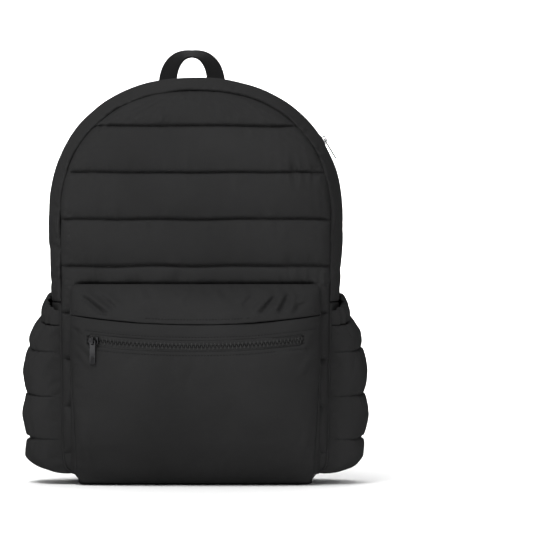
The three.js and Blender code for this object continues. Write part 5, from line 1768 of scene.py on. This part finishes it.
def add_chain(name, node, line, out, across, width, settings):
    """Two tapes with interlocked teeth along a line, just under the fabric's surface, over a
    backing in the darker webbing colour that paints the shade between the teeth.
    """
    finish = materials(settings)
    run = run_along(line)
    count = int(run[-1] / TOOTH_PITCH)
    at = (np.arange(count) + 0.5) * run[-1] / count
    centre = np.stack([np.interp(at, run, line[:, axis]) for axis in range(3)], axis=-1)
    along = tangents(centre)
    outward = unit(np.stack([np.interp(at, run, out[:, axis]) for axis in range(3)], axis=-1))
    sideways = unit(np.cross(outward, along))
    sign = np.where(np.arange(count) % 2, 1.0, -1.0)[:, None]
    pattern = tooth_pattern()
    # A tooth turned about its outward axis points to the other side
    teeth = repeat_mesh(f"{name}_teeth", pattern, centre - sideways * sign * 1.3 - outward * 0.35,
                        along * sign, outward)
    drop_object(pattern)
    teeth.data.polygons.foreach_set("use_smooth", [False] * len(teeth.data.polygons))
    dress(teeth, finish["zip"], "zip_metal", node)
    for tape_name, way in (("upper", 1.0), ("lower", -1.0)):
        middle = line + across * way * (width / 4 + CHAIN_GAP / 2) - out * 1.2
        tape = ribbon(f"{name}_tape_{tape_name}", middle, across, width / 2 - CHAIN_GAP, TAPE_THICK)
        dress(tape, finish["tape"], "webbing")
    # The backing takes the webbing's darker colour: painted shade in the gaps between the teeth
    gap_shade_backing = ribbon(f"{name}_backing", line - out * 2.4, across, width, BACKING_THICK)
    dress(gap_shade_backing, finish["webbing"], "webbing")


def add_slider(name, seat, out, along, length, width, settings):
    """A slider with its arched bridge, and the pull that turns in the bridge's eye."""
    across = np.cross(out, along)
    finish = materials(settings)["metal"]
    bottom, top = SEAM_GAP, SEAM_GAP + SLIDER_THICK
    slider = begin_block(f"{name}_slider_body", (length, width, SLIDER_THICK))
    long_axis, long_half = (0, length / 2) if length > width else (1, width / 2)
    cut_at(slider, long_axis, -long_half * 0.3, long_half * 0.45)
    nose = [0.55, 0.55, 1]
    nose[long_axis] = 1
    edit(slider, lambda: bpy.ops.transform.resize(value=tuple(nose)),
         faces=lambda centre, normal: normal[long_axis] < -0.9)

    def raise_top():
        bpy.ops.mesh.inset(thickness=1.1 * MM, depth=0)
        bpy.ops.transform.translate(value=(0, 0, -0.35 * MM))
    edit(slider, raise_top, faces=lambda centre, normal: normal[2] > 0.9)
    round_edges(slider, 0.4)
    height = 1 + BRIDGE_EYE_HEIGHT + BRIDGE_TOP
    bridge = begin_block(f"{name}_bridge", (BRIDGE_LENGTH, BRIDGE_WIDTH, height))
    eye_low = -height / 2 + 1
    cut_at(bridge, 0, -BRIDGE_EYE_LENGTH / 2, BRIDGE_EYE_LENGTH / 2)
    cut_at(bridge, 2, eye_low, eye_low + BRIDGE_EYE_HEIGHT)
    open_window(bridge, 1, lambda c: (abs(c[0]) < BRIDGE_EYE_LENGTH / 2
                                      and eye_low < c[2] < height / 2 - BRIDGE_TOP))
    edit(bridge, lambda: bpy.ops.mesh.bevel(offset=1.0 * MM, segments=3, affect="EDGES"),
         edges=lambda middle, way: abs(way[1]) > 0.9 and middle[2] > height / 2 - 0.1
         and abs(middle[0]) > BRIDGE_LENGTH / 2 - 0.1)
    round_edges(bridge, 0.25)
    slider.data.transform(Matrix.Translation((0, 0, (bottom + top) / 2 * MM)))
    bridge.data.transform(Matrix.Translation((0, 0, (top - 1 + height / 2) * MM)))
    join_to(slider, bridge)
    settle(slider, seat, along, across, out)
    dress(slider, finish, "zip_metal", f"{name}_slider")

    half = PULL_THICK / 2
    eye = top + BRIDGE_EYE_HEIGHT / 2
    window = BRIDGE_WIDTH / 2 + PULL_PLAY
    pull = begin_block(f"{name}_pull_plate", (PULL_LENGTH, PULL_WIDTH, PULL_THICK))
    pull.data.transform(Matrix.Translation(((PULL_LENGTH / 2 - half) * MM, 0, 0)))
    cut_at(pull, 0, half, half + PULL_WINDOW_LENGTH)
    cut_at(pull, 1, -window, window)
    open_window(pull, 2, lambda c: half < c[0] < half + PULL_WINDOW_LENGTH and abs(c[1]) < window)
    ends = (-half, PULL_LENGTH - half)
    edit(pull, lambda: bpy.ops.mesh.bevel(offset=1.5 * MM, segments=4, affect="EDGES"),
         edges=lambda middle, way: abs(way[2]) > 0.9 and abs(abs(middle[1]) - PULL_WIDTH / 2) < 0.05
         and min(abs(middle[0] - end) for end in ends) < 0.05)
    grip = half + PULL_WINDOW_LENGTH

    def sink():
        bpy.ops.mesh.inset(thickness=1.0 * MM, depth=0)
        bpy.ops.transform.resize(value=(1, 1, 0.5))
    edit(pull, sink, faces=lambda centre, normal: abs(normal[2]) > 0.9 and centre[0] > grip + 1)
    round_edges(pull, 0.22)
    pull.data.transform(Matrix.Translation((0, 0, eye * MM)))
    settle(pull, seat, along, across, out)
    dress(pull, finish, "zip_metal", f"{name}_pull", body=f"{name}_pull")


class BACKPACK_OT_main_zip(bpy.types.Operator):
    """Adds the main zip's tapes and teeth over the bag, with its slider and pull"""
    bl_idname = "backpack.main_zip"
    bl_label = "Main Zip"

    def execute(self, context):
        settings = context.scene.backpack
        rise, side = stations(rise_of(BAND_END_Z), 40, 120)
        line = on_body(rise, side, ZIP_Y, CHAIN_RECESS)
        out = unit(on_body(rise, side, ZIP_Y, CHAIN_RECESS - 1) - line)
        across = np.broadcast_to([0.0, 1.0, 0.0], line.shape)
        add_chain("main_zip", "main_zip_chain", line, out, across, MAIN_CHAIN_WIDTH, settings)
        lift = (MAIN_SLIDER_Z - SPRING_Z) / (WIDE_RING[1] - SPRING_Z)
        seat_rise = 1 + math.asin(lift ** (ARCH_POWER / 2)) / (math.pi / 2)
        seat = on_body(seat_rise, 1, ZIP_Y, CHAIN_RECESS)
        way = unit(on_body(seat_rise, 1, ZIP_Y, CHAIN_RECESS - 1) - seat)
        down = np.array([way[2], 0, -way[0]])
        add_slider("main_zip", seat, way, down, SLIDER_LENGTH, SLIDER_WIDTH, settings)
        return {"FINISHED"}


class BACKPACK_OT_pocket_zip(bpy.types.Operator):
    """Adds the pocket zip's tapes and teeth in its slot, with its slider and hanging pull"""
    bl_idname = "backpack.pocket_zip"
    bl_label = "Pocket Zip"

    def execute(self, context):
        settings = context.scene.backpack
        x = np.linspace(-POCKET_ZIP_HALF + SEAM_GAP, POCKET_ZIP_HALF - SEAM_GAP, 160)
        z = zip_line(x)
        line = np.stack([x, pocket_surface(x, z) + CHAIN_RECESS, z], axis=-1)
        along = tangents(line)
        out = unit(np.cross(along, [0.0, 0.0, 1.0]))
        across = unit(np.cross(out, along))
        add_chain("pocket_zip", "pocket_zip_chain", line, out, across, POCKET_SLOT + 1.6, settings)
        at = zip_line(POCKET_SLIDER_X)
        seat_y = straight_pocket_surface(POCKET_SLIDER_X, at)
        half = SLIDER_LENGTH / 2
        turn = math.atan2(straight_pocket_surface(POCKET_SLIDER_X + half, at)
                          - straight_pocket_surface(POCKET_SLIDER_X - half, at), 2 * half)
        way = np.array([math.sin(turn), -math.cos(turn), 0])
        seat = np.array([POCKET_SLIDER_X, seat_y + CHAIN_RECESS, at])
        down = np.array([0.0, 0.0, -1.0])
        add_slider("pocket_zip", seat, way, down, SLIDER_WIDTH, SLIDER_LENGTH, settings)
        return {"FINISHED"}


def straight_pocket_surface(x, z):
    """The pocket's depth as the model reads it, straight between the table's rows."""
    share = min(abs(x) / pocket_half(z), 1)
    out = np.interp(pocket_rise(z), POCKET_RISE, POCKET_OUT)
    return float(pocket_edge(z) - POCKET_DEPTH * out * (1 - share ** 4) ** 0.5)


# The stage, in metres

SWEEP_REACH = 8.0
SWEEP_WALL = 5.2
SWEEP_BEND = 1.2
SWEEP_TOP = 9.0
WORLD_STRENGTH = 0.45

# Each light's name, place, target, size and power in watts
LIGHTS = (
    ("key", (-0.8, -1.6, 2.7), (0, 0, 0.22), 1.5, 80),
    ("front_fill", (0.2, -2.9, 0.9), (0, 0, 0.22), 2.2, 24),
    ("floor_light", (0, 3.2, 3.2), (0, 3.21, 0), 3.0, 130),
    ("wall_left", (-2.2, 3.0, 2.4), (-0.6, 6.4, 1.0), 2.0, 170),
    ("wall_right", (2.2, 3.0, 2.4), (0.6, 6.4, 1.0), 2.0, 170),
)


class BACKPACK_OT_stage(bpy.types.Operator):
    """Adds the pale floor and backdrop, the lights and the camera"""
    bl_idname = "backpack.stage"
    bl_label = "Stage"

    def execute(self, context):
        scene = context.scene
        settings = scene.backpack
        bend = [(SWEEP_WALL + math.sin(a) * SWEEP_BEND, SWEEP_BEND - math.cos(a) * SWEEP_BEND)
                for a in np.linspace(0, math.pi / 2, 16)[1:]]
        profile = [(-SWEEP_REACH, 0.0), (SWEEP_WALL, 0.0), *bend,
                   (SWEEP_WALL + SWEEP_BEND, SWEEP_TOP)]
        verts = [(x, y, z) for y, z in profile for x in (-SWEEP_REACH, SWEEP_REACH)]
        faces = [(2 * i, 2 * i + 1, 2 * i + 3, 2 * i + 2) for i in range(len(profile) - 1)]
        sweep = mesh_object("studio_sweep", np.array(verts) / MM, faces)
        sweep.data.materials.append(stage_material("studio_paper", settings.stage_colour))
        for name, place, target, size, power in LIGHTS:
            data = bpy.data.lights.new(name, "AREA")
            data.size = size
            data.energy = power
            light = bpy.data.objects.new(name, data)
            light.location = place
            light.rotation_mode = "QUATERNION"
            light.rotation_quaternion = (Vector(target) - Vector(place)).to_track_quat("-Z", "Y")
            scene.collection.objects.link(light)
        world = scene.world or bpy.data.worlds.new("studio")
        scene.world = world
        world.use_nodes = True
        background = world.node_tree.nodes["Background"]
        background.inputs["Color"].default_value = (1, 1, 1, 1)
        background.inputs["Strength"].default_value = WORLD_STRENGTH
        scene.view_settings.view_transform = "Standard"
        scene.view_settings.look = "None"
        add_camera(scene, settings)
        return {"FINISHED"}


def add_camera(scene, settings):
    """A long lens straight in front, shifted so that the bag stands left of the middle."""
    data = bpy.data.cameras.new("camera")
    data.sensor_width = SENSOR
    data.lens = SENSOR * settings.camera_distance / (PHOTO_SIDE * MM_PER_PIXEL * MM)
    data.shift_x = (PHOTO_SIDE / 2 - PHOTO_MIDDLE_X) / PHOTO_SIDE
    data.shift_y = -PHOTO_LIFT / PHOTO_SIDE
    data.clip_end = 50
    camera = bpy.data.objects.new("camera", data)
    height = (PHOTO_FLOOR_Y - PHOTO_SIDE / 2) * MM_PER_PIXEL * MM
    camera.location = (0, -settings.camera_distance, height)
    camera.rotation_euler = (math.pi / 2, 0, 0)
    scene.collection.objects.link(camera)
    scene.camera = camera


# Settings, panel and registration

class BackpackSettings(bpy.types.PropertyGroup):
    """Sizes and colours that a user would change"""
    puff_depth: FloatProperty(
        name="Puff Depth",
        description="Height of a filled channel over its sewn lines, in millimetres",
        default=6.0, min=1.0, max=10.0)
    line_wander: FloatProperty(
        name="Line Wander", description="How far a quilting line strays, in millimetres",
        default=0.7, min=0.0, max=4.0)
    pucker_depth: FloatProperty(
        name="Pucker Depth", description="Height of the gathers beside seams, in millimetres",
        default=1.3, min=0.0, max=3.0)
    filling_pressure: FloatProperty(
        name="Filling Pressure", description="How hard the filling pushes the fabric out",
        default=4.0, min=0.0, max=10.0)
    camera_distance: FloatProperty(
        name="Camera Distance", description="From the bag's middle to the camera",
        default=5.0, min=2.0, max=5.5, unit="LENGTH")
    fabric_colour: FloatVectorProperty(
        name="Fabric", description="Colour of the nylon", subtype="COLOR",
        default=(0.0205, 0.0205, 0.0207), min=0, max=1)
    webbing_colour: FloatVectorProperty(
        name="Webbing", description="Colour of the webbing", subtype="COLOR",
        default=(0.0095, 0.0095, 0.0098), min=0, max=1)
    buckle_colour: FloatVectorProperty(
        name="Buckles", description="Colour of the moulded buckles", subtype="COLOR",
        default=(0.01, 0.01, 0.01), min=0, max=1)
    slider_colour: FloatVectorProperty(
        name="Sliders", description="Colour of the plated sliders and pulls", subtype="COLOR",
        default=(0.05, 0.05, 0.052), min=0, max=1)
    teeth_colour: FloatVectorProperty(
        name="Zip Teeth", description="Colour of the zip teeth", subtype="COLOR",
        default=(0.02, 0.02, 0.02), min=0, max=1)
    thread_colour: FloatVectorProperty(
        name="Thread", description="Colour of the sewing thread", subtype="COLOR",
        default=(0.01, 0.01, 0.01), min=0, max=1)
    stage_colour: FloatVectorProperty(
        name="Stage", description="Colour of the floor and backdrop", subtype="COLOR",
        default=(0.93, 0.93, 0.93), min=0, max=1)


OPERATORS = (
    BACKPACK_OT_stage,
    BACKPACK_OT_front_panel,
    BACKPACK_OT_gusset,
    BACKPACK_OT_back_panel,
    BACKPACK_OT_boxed_base,
    BACKPACK_OT_front_pocket,
    BACKPACK_OT_side_pockets,
    BACKPACK_OT_grab_handle,
    BACKPACK_OT_shoulder_pads,
    BACKPACK_OT_strap_webbing,
    BACKPACK_OT_ladder_locks,
    BACKPACK_OT_main_zip,
    BACKPACK_OT_pocket_zip,
)


class BACKPACK_PT_panel(bpy.types.Panel):
    """Lists the backpack's settings and the steps that build it"""
    bl_label = "Quilted Backpack"
    bl_space_type = "VIEW_3D"
    bl_region_type = "UI"
    bl_category = "Backpack"

    def draw(self, context):
        for name in BackpackSettings.__annotations__:
            self.layout.prop(context.scene.backpack, name)
        for operator in OPERATORS:
            self.layout.operator(operator.bl_idname)


CLASSES = (BackpackSettings, *OPERATORS, BACKPACK_PT_panel)


def register():
    for cls in CLASSES:
        bpy.utils.register_class(cls)
    bpy.types.Scene.backpack = PointerProperty(type=BackpackSettings)


def unregister():
    del bpy.types.Scene.backpack
    for cls in reversed(CLASSES):
        bpy.utils.unregister_class(cls)


def main():
    register()
    for operator in OPERATORS:
        group, name = operator.bl_idname.split(".")
        getattr(getattr(bpy.ops, group), name)()


if __name__ == "__main__":
    main()
